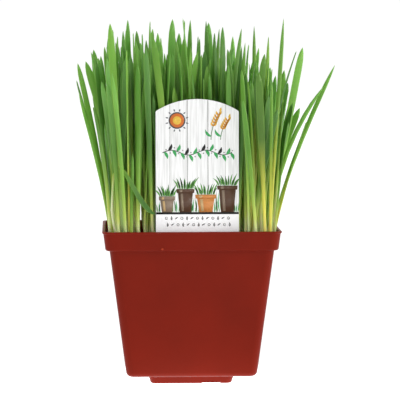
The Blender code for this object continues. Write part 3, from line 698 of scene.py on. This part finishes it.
around = Surroundings()
around.add(*rule_pot())
keep_out = label_plate(label_outline(RULE_ARCH_STEPS), LABEL_THICKNESS, LABEL_CLEAR_IN_FRONT)
around.add(keep_out.reshape(-1, 3), loft_faces(2, keep_out.shape[1]))
clumps = {clump: [] for clump in CLUMPS}
for clump in CLUMPS:
    around.add(*mat_piece(*clump), owner=clump)


def keep(blade, clump):
    """Adds a blade to its clump if nothing stands in its way, and says whether it did."""
    if not around.clear_of(*blade_sheath(blade), clump):
        return False
    around.add(*blade_solid(blade))
    clumps[clump].append(blade)
    return True


for root_x, root_y, tip_x, tip_y, rise, bow, droop, facing, twist, width in STANDOUT_BLADES:
    root = np.array((root_x, root_y)) * MM
    reach = np.array((tip_x, tip_y)) * MM - root * (1 + SPREAD_TO_RIM / MAT_HALF)
    column = int((root[0] + MAT_HALF) / (2 * MAT_HALF) * CLUMP_COLUMNS)
    _, _, front, back = clump_edges(column, 0)
    row = int((root[1] - front) / (back - front))
    keep(Blade(root, reach, rise * MM, bow, droop, facing, twist, width * MM), (column, row))

draw = random.Random(GRASS_SEED)
for clump, x, y in seed_places(draw):
    for attempt in range(TRIES):
        calm = 1 - CALM_AFTER_TRIES * attempt / TRIES
        if keep(random_blade(draw, random_root(draw, clump, x, y), calm), clump):
            break

# The wheatgrass blades
# Each is one leaf, rolled into a pale round stem where it comes out of the seed, then opened into a thin
# ribbon folded along its midrib, with fine ribs along it and a pointed tip that was never cut. The model's
# solids are an eighth wider and stiffer than the leaves, which keep to the same middle lines.

# The sheet's thickness, the leaf's share of the solid's width, how far a tip is blunted between two blade
# widths, how flat the oval stem is, and where the tube opens into the folded sheet
LEAF_SHEET, TRIM = 0.28 * MM, 0.88
BLUNTEST, BLUNT_FROM, BLUNT_TO = 2.6, 3.0 * MM, 4.6 * MM
OVAL, OPENS_FROM, OPENS_TO = 0.45, 0.10, 0.55
# Root places that the sun yellows at the right front, leans that count as far out, and places at the back
SUNNY_X, SUNNY_Y = (20 * MM, 42 * MM), (10 * MM, -30 * MM)
FAR_OUT, BEHIND_Y = (16 * MM, 32 * MM), (-20 * MM, 25 * MM)
CREASE_ANGLE = 70
FINE_SECTIONS = np.array((0.0, 0.04, 0.08, 0.12, 0.20, 0.30, 0.45, 0.60, 0.72, 0.82, 0.89, 0.94, 0.97, 0.988))
ACROSS = np.array((-1.0, 0.0, 1.0, 1.0, 0.0, -1.0))


def leaf_rings(blade, s):
    """Six points round a blade at each share s. From an oval tube at the root the section opens into a
    folded sheet: its edges move to the face, and the middle of the face sinks towards the keel. A wide leaf
    ends blunter: the tip's width, 1 - t ** power, has a higher power."""
    middle = spine(blade, s)
    across, out = blade_frame(blade, s)
    t = np.clip((s - TIP_STARTS) / (1 - TIP_STARTS), 0, 1)
    power = TIP_POWER + BLUNTEST * smoothstep(BLUNT_FROM, BLUNT_TO, blade.width)
    half = TRIM * blade_width(blade, s) / 2 * (1 - t**power) / (1 - t**TIP_POWER)
    depth = blade_thickness(s) / 2
    opened = smoothstep(OPENS_FROM, OPENS_TO, s)
    face_edge = depth * (OVAL + (1 - OVAL) * opened)
    back_edge = -OVAL * depth + (depth - LEAF_SHEET + OVAL * depth) * opened
    face_middle = depth + (LEAF_SHEET - 2 * depth) * opened
    heights = np.stack([face_edge, face_middle, face_edge, back_edge, -depth, back_edge], axis=-1)
    sideways = across[:, None, :] * (half[:, None] * ACROSS[None, :])[..., None]
    return middle[:, None, :] + sideways + out[:, None, :] * heights[..., None]


def leaf_faces(rows):
    """Quads up the leaf, its root cap and the six triangles of its tip. The rings run clockwise seen
    from the tip, so every face is turned round."""
    sides = grid_faces(rows, 6, closed=True)[:, ::-1].tolist()
    last = (rows - 1) * 6
    tips = [[last + (i + 1) % 6, last + i, last + 6] for i in range(6)]
    return sides + [list(range(6))] + tips


def grow_clump(name, blades, material, seed):
    """One piece of all the blades of a clump, with how far along and across the leaf each point is, and
    each blade's own tone and age. Along counts slower on a blade that greened late. Blades at the sunny
    right front are older and yellower, and those that lean far out or stand behind are lighter."""
    draw = np.random.default_rng(seed)
    s = FINE_SECTIONS
    pattern = leaf_faces(len(s))
    size = len(s) * 6 + 1
    points, faces, tones, ages, greening = [], [], [], [], []
    for number, blade in enumerate(blades):
        points += [leaf_rings(blade, s).reshape(-1, 3), spine(blade, np.ones(1))]
        faces += [[i + number * size for i in face] for face in pattern]
        sunny = smoothstep(*SUNNY_X, blade.root[0]) * smoothstep(*SUNNY_Y, blade.root[1])
        far = smoothstep(*FAR_OUT, np.hypot(*blade.reach)) * (blade.droop == 0)
        behind = smoothstep(*BEHIND_Y, blade.root[1])
        tone = draw.uniform(0, 1) * (1 - 0.7 * far) * (1 - 0.4 * behind) + 0.3 * sunny * (1 - far)
        tones.append(max(tone, blade.droop > 0))
        ages.append(draw.uniform(0, 1) ** (5 - 4.2 * sunny))
        greening.append((1 - 0.5 * draw.uniform(0, 1) ** 3) * (1 - 0.2 * sunny))
    piece = new_piece(name, np.concatenate(points), faces, material)
    for attribute, values in (
        ("along", np.outer(greening, np.append(np.repeat(s, 6), 1.0))),
        ("across", np.tile(np.append(np.tile(ACROSS, len(s)), 0.0), len(blades))),
        ("tone", np.repeat(tones, size)),
        ("age", np.repeat(ages, size)),
    ):
        piece.data.attributes.new(attribute, "FLOAT", "POINT").data.foreach_set("value", np.ravel(values))
    piece.data.set_sharp_from_angle(angle=math.radians(CREASE_ANGLE))
    return piece


# Wheat leaf: a waxy skin over wet green tissue, so light glows through it a little. It is whitish where
# the rim shaded it, then yellow-green, then deep green, with lighter ribs about half a millimetre apart.
RIB_WAVES = 7.0
LEAF_PALE, LEAF_BASE, LEAF_LOW, LEAF_MIDDLE, LEAF_UPPER = (
    "#EDEDC4", "#C6D262", "#81AB3A", "#5A8F2F", "#6AA646"
)
LEAF_DEEP, LEAF_LIGHT, LEAF_YELLOW, LEAF_RIB = "#275B1D", "#84B847", "#EAD852", "#9CC65C"
leaf, tree, surface = new_material(
    "wheat_leaf", Roughness=0.45, Specular_IOR_Level=0.35,
    Subsurface_Weight=0.3, Subsurface_Scale=0.001, Subsurface_Radius=(0.5, 1.0, 0.25),
)
along, across, tone, age = (
    add_node(tree, "Attribute", "Fac", attribute_name=name) for name in ("along", "across", "tone", "age")
)
greens = ((0.08, LEAF_PALE), (1.0, LEAF_UPPER), (0.18, LEAF_BASE), (0.34, LEAF_LOW), (0.55, LEAF_MIDDLE))
colour = add_node(tree, "ValToRGB", "Color", {"Fac": along}, greens)
grown_stops = ((0.15, "#000000"), (1.0, "#C0C0C0"), (0.5, "#F3F3F3"))
grown = add_node(tree, "ValToRGB", "Color", {"Fac": along}, grown_stops)
rib_angle = add_node(tree, "Math", "Value", {0: across, 1: RIB_WAVES * math.pi}, operation="MULTIPLY")
rib = add_node(tree, "Math", "Value", {0: rib_angle}, operation="COSINE")
edge = add_node(tree, "Math", "Value", {0: across}, operation="ABSOLUTE")
deep, light, old, low, edge_light, rib_light = (
    add_node(tree, "MapRange", "Result", {0: value, 1: low_in, 2: high_in, 3: low_out, 4: high_out})
    for value, low_in, high_in, low_out, high_out in (
        (tone, 0.45, 1.0, 0.0, 1.0),
        (tone, 0.42, 0.0, 0.0, 0.65),
        (age, 0.5, 0.95, 0.0, 0.9),
        (along, 0.2, 0.5, 1.0, 0.05),
        (edge, 0.7, 1.0, 0.0, 0.25),
        (rib, -1.0, 1.0, 0.0, 0.16),
    )
)
deep_share = add_node(tree, "Math", "Value", {0: grown, 1: deep}, operation="MULTIPLY")
yellow_share = add_node(tree, "Math", "Value", {0: old, 1: low}, operation="MULTIPLY")
line_share = add_node(tree, "Math", "Value", {0: edge_light, 1: rib_light}, operation="ADD")
for share, code in (
    (deep_share, LEAF_DEEP), (light, LEAF_LIGHT), (yellow_share, LEAF_YELLOW), (line_share, LEAF_RIB)
):
    colour = add_node(tree, "Mix", 2, {0: share, 6: colour, 7: linear(code)}, data_type="RGBA")
skin = add_node(tree, "Bump", "Normal", {"Height": rib, "Strength": 0.35, "Distance": 0.05 * MM})
set_inputs(surface, {"Base Color": colour, "Normal": skin})

for (column, row), blades in clumps.items():
    number = f"{column + 1}{row + 1}"
    grass = grow_clump(f"wheatgrass_{number}", blades, leaf, seed=int(number))
    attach(grass, "root")
    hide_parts(f"grass_clump_{number}")

# The young shoots
# Wheat seedlings that came up late between the others, thinner and shorter, and still pale at the foot. They
# fill the gaps along the rim. They take their places after the others and keep as clear of them.

SHOOT_RISE, SHOOT_WIDTH = (38.0 * MM, 124.0 * MM), (2.0 * MM, 3.3 * MM)
SHOOT_LEAN, SHOOT_FAN_OUT = 6.5 * MM, 0.06
SHOOT_TRIES, SHOOTS_AT_RIM, SHOOTS_INSIDE, SHOOT_SEED = 240, 22, 10, 57

draw = random.Random(SHOOT_SEED)
for column, row in CLUMPS:
    at_rim = column in (0, CLUMP_COLUMNS - 1) or row in (0, CLUMP_ROWS - 1)
    most = SHOOTS_AT_RIM if at_rim else SHOOTS_INSIDE
    west, east, south, north = clump_edges(column, row)
    shoots = []
    for attempt in range(SHOOT_TRIES):
        x = draw.uniform(west + SEED_MARGIN, east - SEED_MARGIN)
        root = np.array((x, draw.uniform(south + SEED_MARGIN, north - SEED_MARGIN)))
        reach = np.array((draw.gauss(0, SHOOT_LEAN), draw.gauss(0, SHOOT_LEAN))) + SHOOT_FAN_OUT * root
        rise, bow = draw.uniform(*SHOOT_RISE), draw.uniform(BOW_LEAST, BOW_MOST)
        facing, twist = draw.uniform(-90, 90), draw.gauss(0, TWIST_SPREAD)
        shoot = Blade(root, reach, rise, bow, 0.0, facing, twist, draw.uniform(*SHOOT_WIDTH))
        if len(shoots) < most:
            sheath = blade_sheath(shoot)
            if around.clear_of(*sheath, (column, row)):
                around.add(*sheath)
                shoots.append(shoot)
    if not shoots:
        continue
    number = f"{column + 1}{row + 1}"
    young = grow_clump(f"young_shoots_{number}", shoots, leaf, seed=100 + int(number))
    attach(young, "root")

# The mat of sprouted seeds
# Wheat grains soaked and sown shoulder to shoulder on the soil, swollen and split by their sprouts, over a
# felt of white roots that has knitted them into one mat. It parts along the clumps.

SEED_LENGTH, SEED_BREADTH, SEED_DEPTH = 6.4 * MM, 3.2 * MM, 2.8 * MM
SEED_ROWS, MOST_TIPPED, SEED_INSET, SEED_SCATTER = 5, 0.35, 0.35, (0.9 * MM, 0.5 * MM)
MAT_SHARES = np.array((1.0, 1.0, 0.985, 0.94, 0.7, 0.4, 0.1))
MAT_HEIGHTS = np.array((0.0, 0.55, 0.85, 1.0, 1.0, 1.0, 1.0)) * (MAT_THICKNESS - 1.0 * MM) + MAT_FOOT
MAT_LUMP, MAT_RELIEF, MAT_SIDE_STEPS, SEED_SINK = 3 * MM, 0.35 * MM, 8, 0.9 * MM
CORNER_START, CORNER_REACH = MAT_HALF - 6 * MM, 4.2 * MM
GRAIN_TAN, GRAIN_BROWN, ROOT_WHITE, ROOT_STAINED = "#B98B4E", "#7C5428", "#D9D2BC", "#4A3826"


def grain_points(middles, seed):
    """Wheat grains at given places: an ellipsoid of 7 by 8 points, x along it, with a crease pressed into
    its belly, turned about the vertical and tipped by up to 20 degrees."""
    draw = np.random.default_rng(seed)
    count = len(middles)
    t = np.linspace(0, np.pi, 7)[:, None]
    round_angle = np.linspace(0, 2 * np.pi, 8, endpoint=False)[None, :]
    crease = 1 - 0.35 * np.exp(-((round_angle - np.pi / 2) ** 2) / 0.15)
    girth = np.sin(t) ** 0.8
    x = -np.cos(t) * SEED_LENGTH / 2 + 0 * round_angle
    y = girth * np.cos(round_angle) * SEED_BREADTH / 2
    z = girth * np.sin(round_angle) * crease * SEED_DEPTH / 2
    grain = np.stack([x, y, z], -1) * draw.uniform(0.85, 1.1, (count, 1, 1, 1))
    turn = draw.uniform(0, 2 * np.pi, count)
    tip = draw.uniform(-MOST_TIPPED, MOST_TIPPED, count)
    zero, one = np.zeros(count), np.ones(count)
    tipping = [np.cos(tip), zero, -np.sin(tip), zero, one, zero, np.sin(tip), zero, np.cos(tip)]
    turning = [np.cos(turn), -np.sin(turn), zero, np.sin(turn), np.cos(turn), zero, zero, zero, one]
    tipping, turning = (np.stack(parts, -1).reshape(-1, 3, 3) for parts in (tipping, turning))
    return turned_copies(grain, turning @ tipping, middles)


# Root felt: matted white root hairs, stained by the peat between them.
FIBRE = 0.9 * MM
felt, tree, surface = new_material("root_felt", Roughness=0.9, Specular_IOR_Level=0.2)
weave = {"Vector": add_node(tree, "TexCoord", "Object"), "Scale": 1 / FIBRE, "Detail": 5.0, "Distortion": 2.0}
fibre = add_node(tree, "TexNoise", "Fac", weave)
tint = add_node(tree, "ValToRGB", "Color", {"Fac": fibre}, ((0.38, ROOT_STAINED), (0.66, ROOT_WHITE)))
skin = add_node(tree, "Bump", "Normal", {"Height": fibre, "Strength": 0.7, "Distance": 0.4 * MM})
set_inputs(surface, {"Base Color": tint, "Normal": skin})

# Wheat grain: a thin tan bran skin, browner where it has stayed wet.
STAIN = 3.0 * MM
bran, tree, surface = new_material("wheat_bran", Roughness=0.55, Specular_IOR_Level=0.4)
place = add_node(tree, "TexCoord", "Object")
stain = add_node(tree, "TexNoise", "Fac", {"Vector": place, "Scale": 1 / STAIN, "Detail": 4.0})
tint = add_node(tree, "ValToRGB", "Color", {"Fac": stain}, ((0.35, GRAIN_BROWN), (0.62, GRAIN_TAN)))
set_inputs(surface, {"Base Color": tint})

for column, row in CLUMPS:
    number = f"{column + 1}{row + 1}"
    outline = np.array(clump_outline(column, row, CLUMP_GAP / 2))
    middle = outline.mean(axis=0)
    steps = np.linspace(0, 1, MAT_SIDE_STEPS + 1)[:-1, None]
    border = np.concatenate([a + (b - a) * steps for a, b in zip(outline, np.roll(outline, -1, axis=0))])
    rings = middle + (border - middle)[None] * MAT_SHARES[:, None, None]
    z = np.broadcast_to(MAT_HEIGHTS[:, None], rings.shape[:2]).copy()
    z[2:] += MAT_RELIEF * lumps(rings[2:, :, 0], rings[2:, :, 1], MAT_LUMP, seed=9)
    mat = tube_solid(f"root_mat_{number}", np.dstack([rings, z]), felt)
    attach(mat, "root")
    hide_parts(f"grass_clump_{number}")
    draw = np.random.default_rng(100 + int(number))
    west, east, south, north = clump_edges(column, row)
    inset = SEED_LENGTH * SEED_INSET
    share = np.arange(SEED_ROWS) / (SEED_ROWS - 1)
    spans = ((west, east), (south, north))
    x, y = np.meshgrid(*(low + inset + (high - low - 2 * inset) * share for low, high in spans))
    aside, above = SEED_SCATTER
    spots = np.stack([x.ravel(), y.ravel()], -1) + aside * draw.uniform(-1, 1, (x.size, 2))
    z = MAT_TOP - SEED_SINK + above * draw.uniform(-1, 1, x.size)
    inside_pot = np.hypot(*np.maximum(np.abs(spots) - CORNER_START, 0).T) < CORNER_REACH
    points, faces = grain_points(np.column_stack([spots, z])[inside_pot], seed=200 + int(number))
    grains = new_piece(f"wheat_grains_{number}", points, faces, bran)
    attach(grains, "root")

# The plant label
# A stake label die-cut from white polystyrene sheet and printed, with an arched head. Its face shows white
# boards with pots of grass on a rule, a sun, ears of grain, a garland and rows of small signs, all generic.

LABEL_CORNER, LABEL_ARCH_STEPS, DIE_CUT_EDGE = 0.8 * MM, 32, 0.12 * MM

label = tube_solid("label_plate", label_plate(label_outline(LABEL_ARCH_STEPS, LABEL_CORNER), LABEL_THICKNESS))
bevel = label.modifiers.new("die-cut edge", "BEVEL")
bevel.width = DIE_CUT_EDGE
bevel.segments = 2
bevel.limit_method = "ANGLE"
even_shading(label, 40)

# Printed polystyrene: bright white with a soft gloss, and a faint painted glow that lifts it where the rim
# and the grass shade it; the print shows whitewashed boards with faint grain up them, and leaves the plastic
# bare below the rule.
RULE = 109.0
BOARD_GRAIN, BOARD_STRETCH = 1.1 * MM, 0.06
BOARD_SHADE, BOARD_WHITE, BARE_WHITE, PAINTED_GLOW = "#DADAD8", "#F2F2F1", "#FFFFFF", "#F4F6FF"
# The emission is painted light: a faint glow, not a lamp, that lightens the label in the shade of the rim and
# the grass.
styrene, tree, surface = new_material(
    "printed_polystyrene_with_painted_glow", IOR=1.59, Roughness=0.32, Emission_Color=linear(PAINTED_GLOW), Emission_Strength=0.09
)
place = add_node(tree, "TexCoord", "Object")
stretch = add_node(tree, "Mapping", "Vector", {"Vector": place, "Scale": (1.0, 1.0, BOARD_STRETCH)})
wood = add_node(tree, "TexNoise", "Fac", {"Vector": stretch, "Scale": 1 / BOARD_GRAIN, "Detail": 4.0})
boards = add_node(tree, "ValToRGB", "Color", {"Fac": wood}, ((0.34, BOARD_SHADE), (0.6, BOARD_WHITE)))
height = add_node(tree, "SeparateXYZ", "Z", {"Vector": place})
rule_z = RULE * MM
bare = add_node(tree, "MapRange", "Result", {0: height, 1: rule_z - 0.3 * MM, 2: rule_z, 3: 1.0, 4: 0.0})
printed = add_node(tree, "Mix", 2, {0: bare, 6: boards, 7: linear(BARE_WHITE)}, data_type="RGBA")
set_inputs(surface, {"Base Color": printed})
label.data.materials.append(styrene)
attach(label, "root")
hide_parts("plant_label")

# The label's print is laid down in thin films of ink, drawn here 0.03 mm thick, in layers from the plate
# out. Lengths are in millimetres from the label's middle line and from the floor.
FILM = 0.03
ARCH_RADIUS = ((LABEL_WIDTH / 2) ** 2 + LABEL_ARCH**2) / (2 * LABEL_ARCH) / MM
EDGE_X = LABEL_WIDTH / 2 / MM - 0.15
BOARD_FOOT = RULE + 0.5
SUN, STALK_FOOT, GARLAND = np.array((-12.5, 166.5)), 154.5, 146.6
INK_BLACK, INK_GREY, INK_FAINT, INK_SLATE = "#151515", "#8E8E8C", "#CFCFCD", "#4C5258"
INK_ORANGE, INK_YELLOW, INK_LEAF, INK_GRASS = "#D9722B", "#EBC04A", "#3DAA5C", "#5B9A3A"
INK_MOSS, INK_EARTH, INK_CLAY, INK_TAN, INK_DUN = "#39702F", "#5A4030", "#D38A4A", "#C9A877", "#8C7A68"
print_grids = []


def ink(grid, colour, layer):
    """Keeps a grid of points, rows by columns by (x, z), to be printed in a colour on a layer."""
    print_grids.append((np.array(grid), colour, layer))


def strip(path, half_width, colour, layer):
    """A line of ink: each point of a path, put out by the half width to both sides of the path."""
    path = np.array(path, float)
    along = np.gradient(path, axis=0)
    along /= np.linalg.norm(along, axis=1, keepdims=True)
    side = along[:, ::-1] * (-1, 1) * np.broadcast_to(half_width, len(path))[:, None]
    ink(np.stack([path + side, path - side], axis=1), colour, layer)


def leaf_print(foot, tip, width, colour, layer, bend=0.0):
    """A pointed leaf on a bent middle line from foot to tip, whose half width is width / 2 times
    sin(pi t ** 0.8)."""
    t = np.linspace(0, 1, 12)
    foot, tip = np.array(foot, float), np.array(tip, float)
    across = (tip - foot)[::-1] * (-1, 1)
    path = foot + (tip - foot) * t[:, None] + across * (bend * np.sin(np.pi * t))[:, None]
    strip(path, np.maximum(width / 2 * np.sin(np.pi * t**0.8), 0.01), colour, layer)


def disc(middle, radius, colour, layer, steps=28):
    """A round spot: rings of 0.02, a half and the whole of its radius."""
    angle = np.linspace(0, 2 * np.pi, steps + 1)
    rim = np.stack([np.cos(angle), np.sin(angle)], -1) * radius
    ink(np.array(middle) + np.array((0.02, 0.5, 1.0))[:, None, None] * rim, colour, layer)


# the gaps between the boards, up to just short of the arched edge, and the rule
for x, colour in ((-17.0, INK_FAINT), (-6.2, INK_GREY), (6.6, INK_GREY), (17.4, INK_FAINT)):
    arch_z = LABEL_TOP / MM - ARCH_RADIUS + math.sqrt(ARCH_RADIUS**2 - x * x)
    strip([(x, BOARD_FOOT), (x, arch_z - 0.3)], 0.2, colour, 1)
strip([(-EDGE_X, RULE), (EDGE_X, RULE)], 0.65, INK_BLACK, 5)

# the sun, upper left
for radius, colour, layer in ((5.2, INK_SLATE, 2), (4.4, INK_ORANGE, 3), (2.6, INK_YELLOW, 4)):
    disc(SUN, radius, colour, layer)
for angle in np.radians(np.arange(15, 375, 30)):
    ray = np.array((math.cos(angle), math.sin(angle)))
    leaf_print(SUN + 5.6 * ray, SUN + 7.4 * ray, 0.8, INK_SLATE, 2)

# two ears of grain, upper right
for x, lean, top in ((8.5, 5.5, 171.5), (14.5, 5.0, 167.5)):
    t = np.linspace(0, 1, 10)
    strip(np.stack([x + lean * t**2, STALK_FOOT + (top - STALK_FOOT) * t], -1), 0.22, INK_MOSS, 2)
    for i in range(5):
        share = 0.5 + 0.1 * i
        foot_x, foot_z = x + lean * share**2, STALK_FOOT + (top - STALK_FOOT) * share
        for side in (-1, 1):
            for out, rise, width, colour, layer, bend in (
                (1.7, 2.6, 1.3, INK_YELLOW, 3, 0.12), (1.2, 2.0, 0.5, INK_ORANGE, 4, 0.1)
            ):
                tip = (foot_x + side * out + 0.5, foot_z + rise)
                leaf_print((foot_x, foot_z), tip, width, colour, layer, -bend * side)
    leaf_print((x + lean, top), (x + lean + 0.9, top + 3.2), 1.3, INK_YELLOW, 3)
    leaf_print((x + 0.3, STALK_FOOT + 2), (x - 3.6, STALK_FOOT + 6.5), 1.6, INK_LEAF, 2, 0.15)

# a garland of leaves across the middle
x = np.linspace(-21.5, 21.5, 60)
strip(np.stack([x, GARLAND + 1.5 * np.sin(x / 3.4)], -1), 0.24, INK_BLACK, 2)
for i, x in enumerate(np.linspace(-20.5, 20.5, 17)):
    z = GARLAND + 1.5 * math.sin(x / 3.4)
    side = 1 if i % 2 else -1
    leaf_print((x, z), (x + 2.1, z + side * 4.3), 1.9, (INK_LEAF, INK_BLACK)[i % 4 == 1], 3, -0.12 * side)
    disc((x + 1.2, z - side * 1.5), 0.42, INK_GREY, 3, steps=12)

# clay pots of young grass standing on the rule, each with a light streak on its side and its rim
sprig = random.Random(31)
for x, width, height, colour, light in (
    (-18.8, 9.6, 8.0, INK_DUN, INK_TAN),
    (-7.4, 10.6, 12.5, INK_EARTH, INK_DUN),
    (5.2, 12.4, 9.0, INK_CLAY, INK_TAN),
    (18.6, 12.0, 14.5, INK_EARTH, INK_DUN),
):
    top = BOARD_FOOT + height
    strip([(x, BOARD_FOOT), (x, top)], (0.33 * width, 0.44 * width), colour, 3)
    strip([(x, top - 0.4), (x, top + 2.0)], (0.51 * width, 0.53 * width), colour, 4)
    strip([(x - 0.16 * width, BOARD_FOOT + 0.8), (x - 0.22 * width, top - 0.8)], 0.07 * width, light, 4)
    strip([(x - 0.26 * width, top), (x - 0.27 * width, top + 1.6)], 0.08 * width, light, 5)
    for i in range(13):
        share = i / 6 - 1
        foot = (x + 0.42 * share * width, top + 1.6)
        tip = (foot[0] + 3.4 * share + sprig.uniform(-0.8, 0.8), foot[1] + sprig.uniform(4.5, 8.0))
        leaf_print(foot, tip, 1.0, (INK_GRASS, INK_MOSS)[i % 2], 2, 0.1 * share)
for i in range(46):
    x = -25 + i * 50 / 45
    tip = (x + sprig.uniform(-1.2, 1.2), BOARD_FOOT + sprig.uniform(5.0, 13.0))
    leaf_print((x, 109.2), tip, 0.8, (INK_GRASS, INK_MOSS, INK_LEAF)[i % 3], 1, sprig.uniform(-0.1, 0.1))

# two rows of small rings, drops and leaves below the rule
for row, z in enumerate((105.9, 101.9)):
    for i in range(13):
        x = -19.2 + i * 3.2 + 0.8 * row
        kind = (i + row) % 3
        if kind == 0:
            disc((x, z), 0.95, INK_GREY, 1, steps=16)
            disc((x, z), 0.6, "#F4F4F4", 2, steps=16)
        elif kind == 1:
            leaf_print((x, z - 1.3), (x, z + 1.5), 1.3, INK_GREY, 1)
        else:
            leaf_print((x - 1.1, z - 0.7), (x + 1.1, z + 0.7), 0.9, INK_GREY, 1, 0.1)

# Ink on the plastic: a satin film whose colour is mottled a little by the halftone of the press.
HALFTONE = 0.9 * MM
offset_ink, tree, surface = new_material("offset_printed_ink", Roughness=0.36, Specular_IOR_Level=0.4)
hue = add_node(tree, "Attribute", "Color", attribute_name="ink")
place = add_node(tree, "TexCoord", "Object")
mottle = add_node(tree, "TexNoise", "Fac", {"Vector": place, "Scale": 1 / HALFTONE, "Detail": 3.0})
shade = add_node(tree, "MapRange", "Result", {"Value": mottle, "To Min": 0.82, "To Max": 1.18})
mixed = add_node(tree, "HueSaturation", "Color", {"Color": hue, "Value": shade})
set_inputs(surface, {"Base Color": mixed})

points, faces, hues = [], [], []
start = 0
for grid, colour, layer in print_grids:
    flat = grid.reshape(-1, 2)
    depth = LABEL_Y / MM - LABEL_THICKNESS / 2 / MM - FILM * (layer - 0.5)
    points.append(np.column_stack([LABEL_X / MM + flat[:, 0], np.full(len(flat), depth), flat[:, 1]]) * MM)
    cells = grid_faces(*grid.shape[:2], closed=False)
    corners = flat[cells[0]]
    (ax, az), (bx, bz), (cx, cz), (dx, dz) = np.roll(corners, -1, axis=0) - corners
    faces_out = ax * bz - az * bx + cx * dz - cz * dx > 0
    faces += ((cells if faces_out else cells[:, ::-1]) + start).tolist()
    hues += [linear(colour)] * len(flat)
    start += len(flat)
label_print = new_piece("label_print", np.concatenate(points), faces, offset_ink)
label_print.data.attributes.new("ink", "FLOAT_COLOR", "POINT").data.foreach_set("color", np.ravel(hues))
film = label_print.modifiers.new("film of ink", "SOLIDIFY")
film.thickness = FILM * MM
film.offset = 0.0
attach(label_print, "root")

# The floor, the light and the camera
# A white light table, brightest under the pot, that runs out of sight, a white tent that is dimmer on the
# camera's side, two large soft lights, a snooted lamp on the label's foot, which the rim shades, and a long
# lens a step and a half away at the leaves' height.

TABLE_HALF, TABLE_DROP, TABLE_GREY = 8.0, 0.05 * MM, "#7C7C7C"
corners = [(x * TABLE_HALF, y * TABLE_HALF, -TABLE_DROP) for x, y in ((-1, -1), (1, -1), (1, 1), (-1, 1))]
table, tree, surface = new_material(
    "white_light_table", Roughness=0.9, Specular_IOR_Level=0.2,
    Base_Color=linear(TABLE_GREY), Emission_Color=(1.0, 1.0, 1.0, 1.0),
)
place = add_node(tree, "TexCoord", "Object")
away = add_node(tree, "VectorMath", "Value", {0: place}, operation="LENGTH")
glow = add_node(tree, "MapRange", "Result", {0: away, 1: 0.05, 2: 0.085, 3: 2.25, 4: 0.9})
set_inputs(surface, {"Emission Strength": glow})
floor = new_piece("floor", corners, [(0, 1, 2, 3)], table)


def place_light(name, kind, place, aim, watts, **settings):
    """A lamp of a kind that points from its place to its aim, with its other settings."""
    lamp = bpy.data.lights.new(name, kind)
    lamp.energy = watts
    for setting, value in settings.items():
        setattr(lamp, setting, value)
    holder = bpy.data.objects.new(name, lamp)
    holder.location = place
    holder.rotation_euler = (Vector(aim) - Vector(place)).to_track_quat("-Z", "Y").to_euler()
    bpy.context.scene.collection.objects.link(holder)


POT_MIDDLE, LABEL_FOOT, SNOOT_ANGLE = (0, 0, 0.12), (0.012, -0.046, 0.108), math.radians(4.6)
place_light("left_soft_box", "AREA", (-1.3, -1.2, 1.3), POT_MIDDLE, 2.8, size=0.9)
place_light("right_soft_box", "AREA", (1.68, -0.45, 0.45), POT_MIDDLE, 13.0, size=0.8)
snoot = {"spot_size": SNOOT_ANGLE, "spot_blend": 1.0, "shadow_soft_size": 0.05}
place_light("front_snoot", "SPOT", (0.5, -1.3, 0.14), LABEL_FOOT, 14.0, **snoot)
world = bpy.data.worlds.new("white_tent")
world.use_nodes = True
tree = world.node_tree
toward = add_node(tree, "TexCoord", "Generated")
depth = add_node(tree, "SeparateXYZ", "Y", {"Vector": toward})
dim = add_node(tree, "MapRange", "Result", {0: depth, 1: -0.9, 2: -0.1, 3: 0.6, 4: 1.02})
set_inputs(tree.nodes["Background"], {"Color": (1.0, 1.0, 1.0, 1.0), "Strength": dim})
bpy.context.scene.world = world
bpy.context.scene.view_settings.view_transform = "Standard"

CAMERA_AIM = np.array((4.7, -55.0, 117.75)) * MM
CAMERA_PLACE = CAMERA_AIM + np.array((-52.3, -1499.1, 91.6)) * MM
CAMERA_ROLL = -0.12
LENS = 219.7
camera_data = bpy.data.cameras.new("camera")
camera_data.lens = LENS
camera_data.sensor_width = 36.0
camera = bpy.data.objects.new("camera", camera_data)
look = (Vector(CAMERA_AIM) - Vector(CAMERA_PLACE)).to_track_quat("-Z", "Y").to_matrix().to_4x4()
camera.matrix_world = (
    Matrix.Translation(CAMERA_PLACE) @ look @ Matrix.Rotation(math.radians(CAMERA_ROLL), 4, "Z")
)
bpy.context.scene.collection.objects.link(camera)
bpy.context.scene.camera = camera
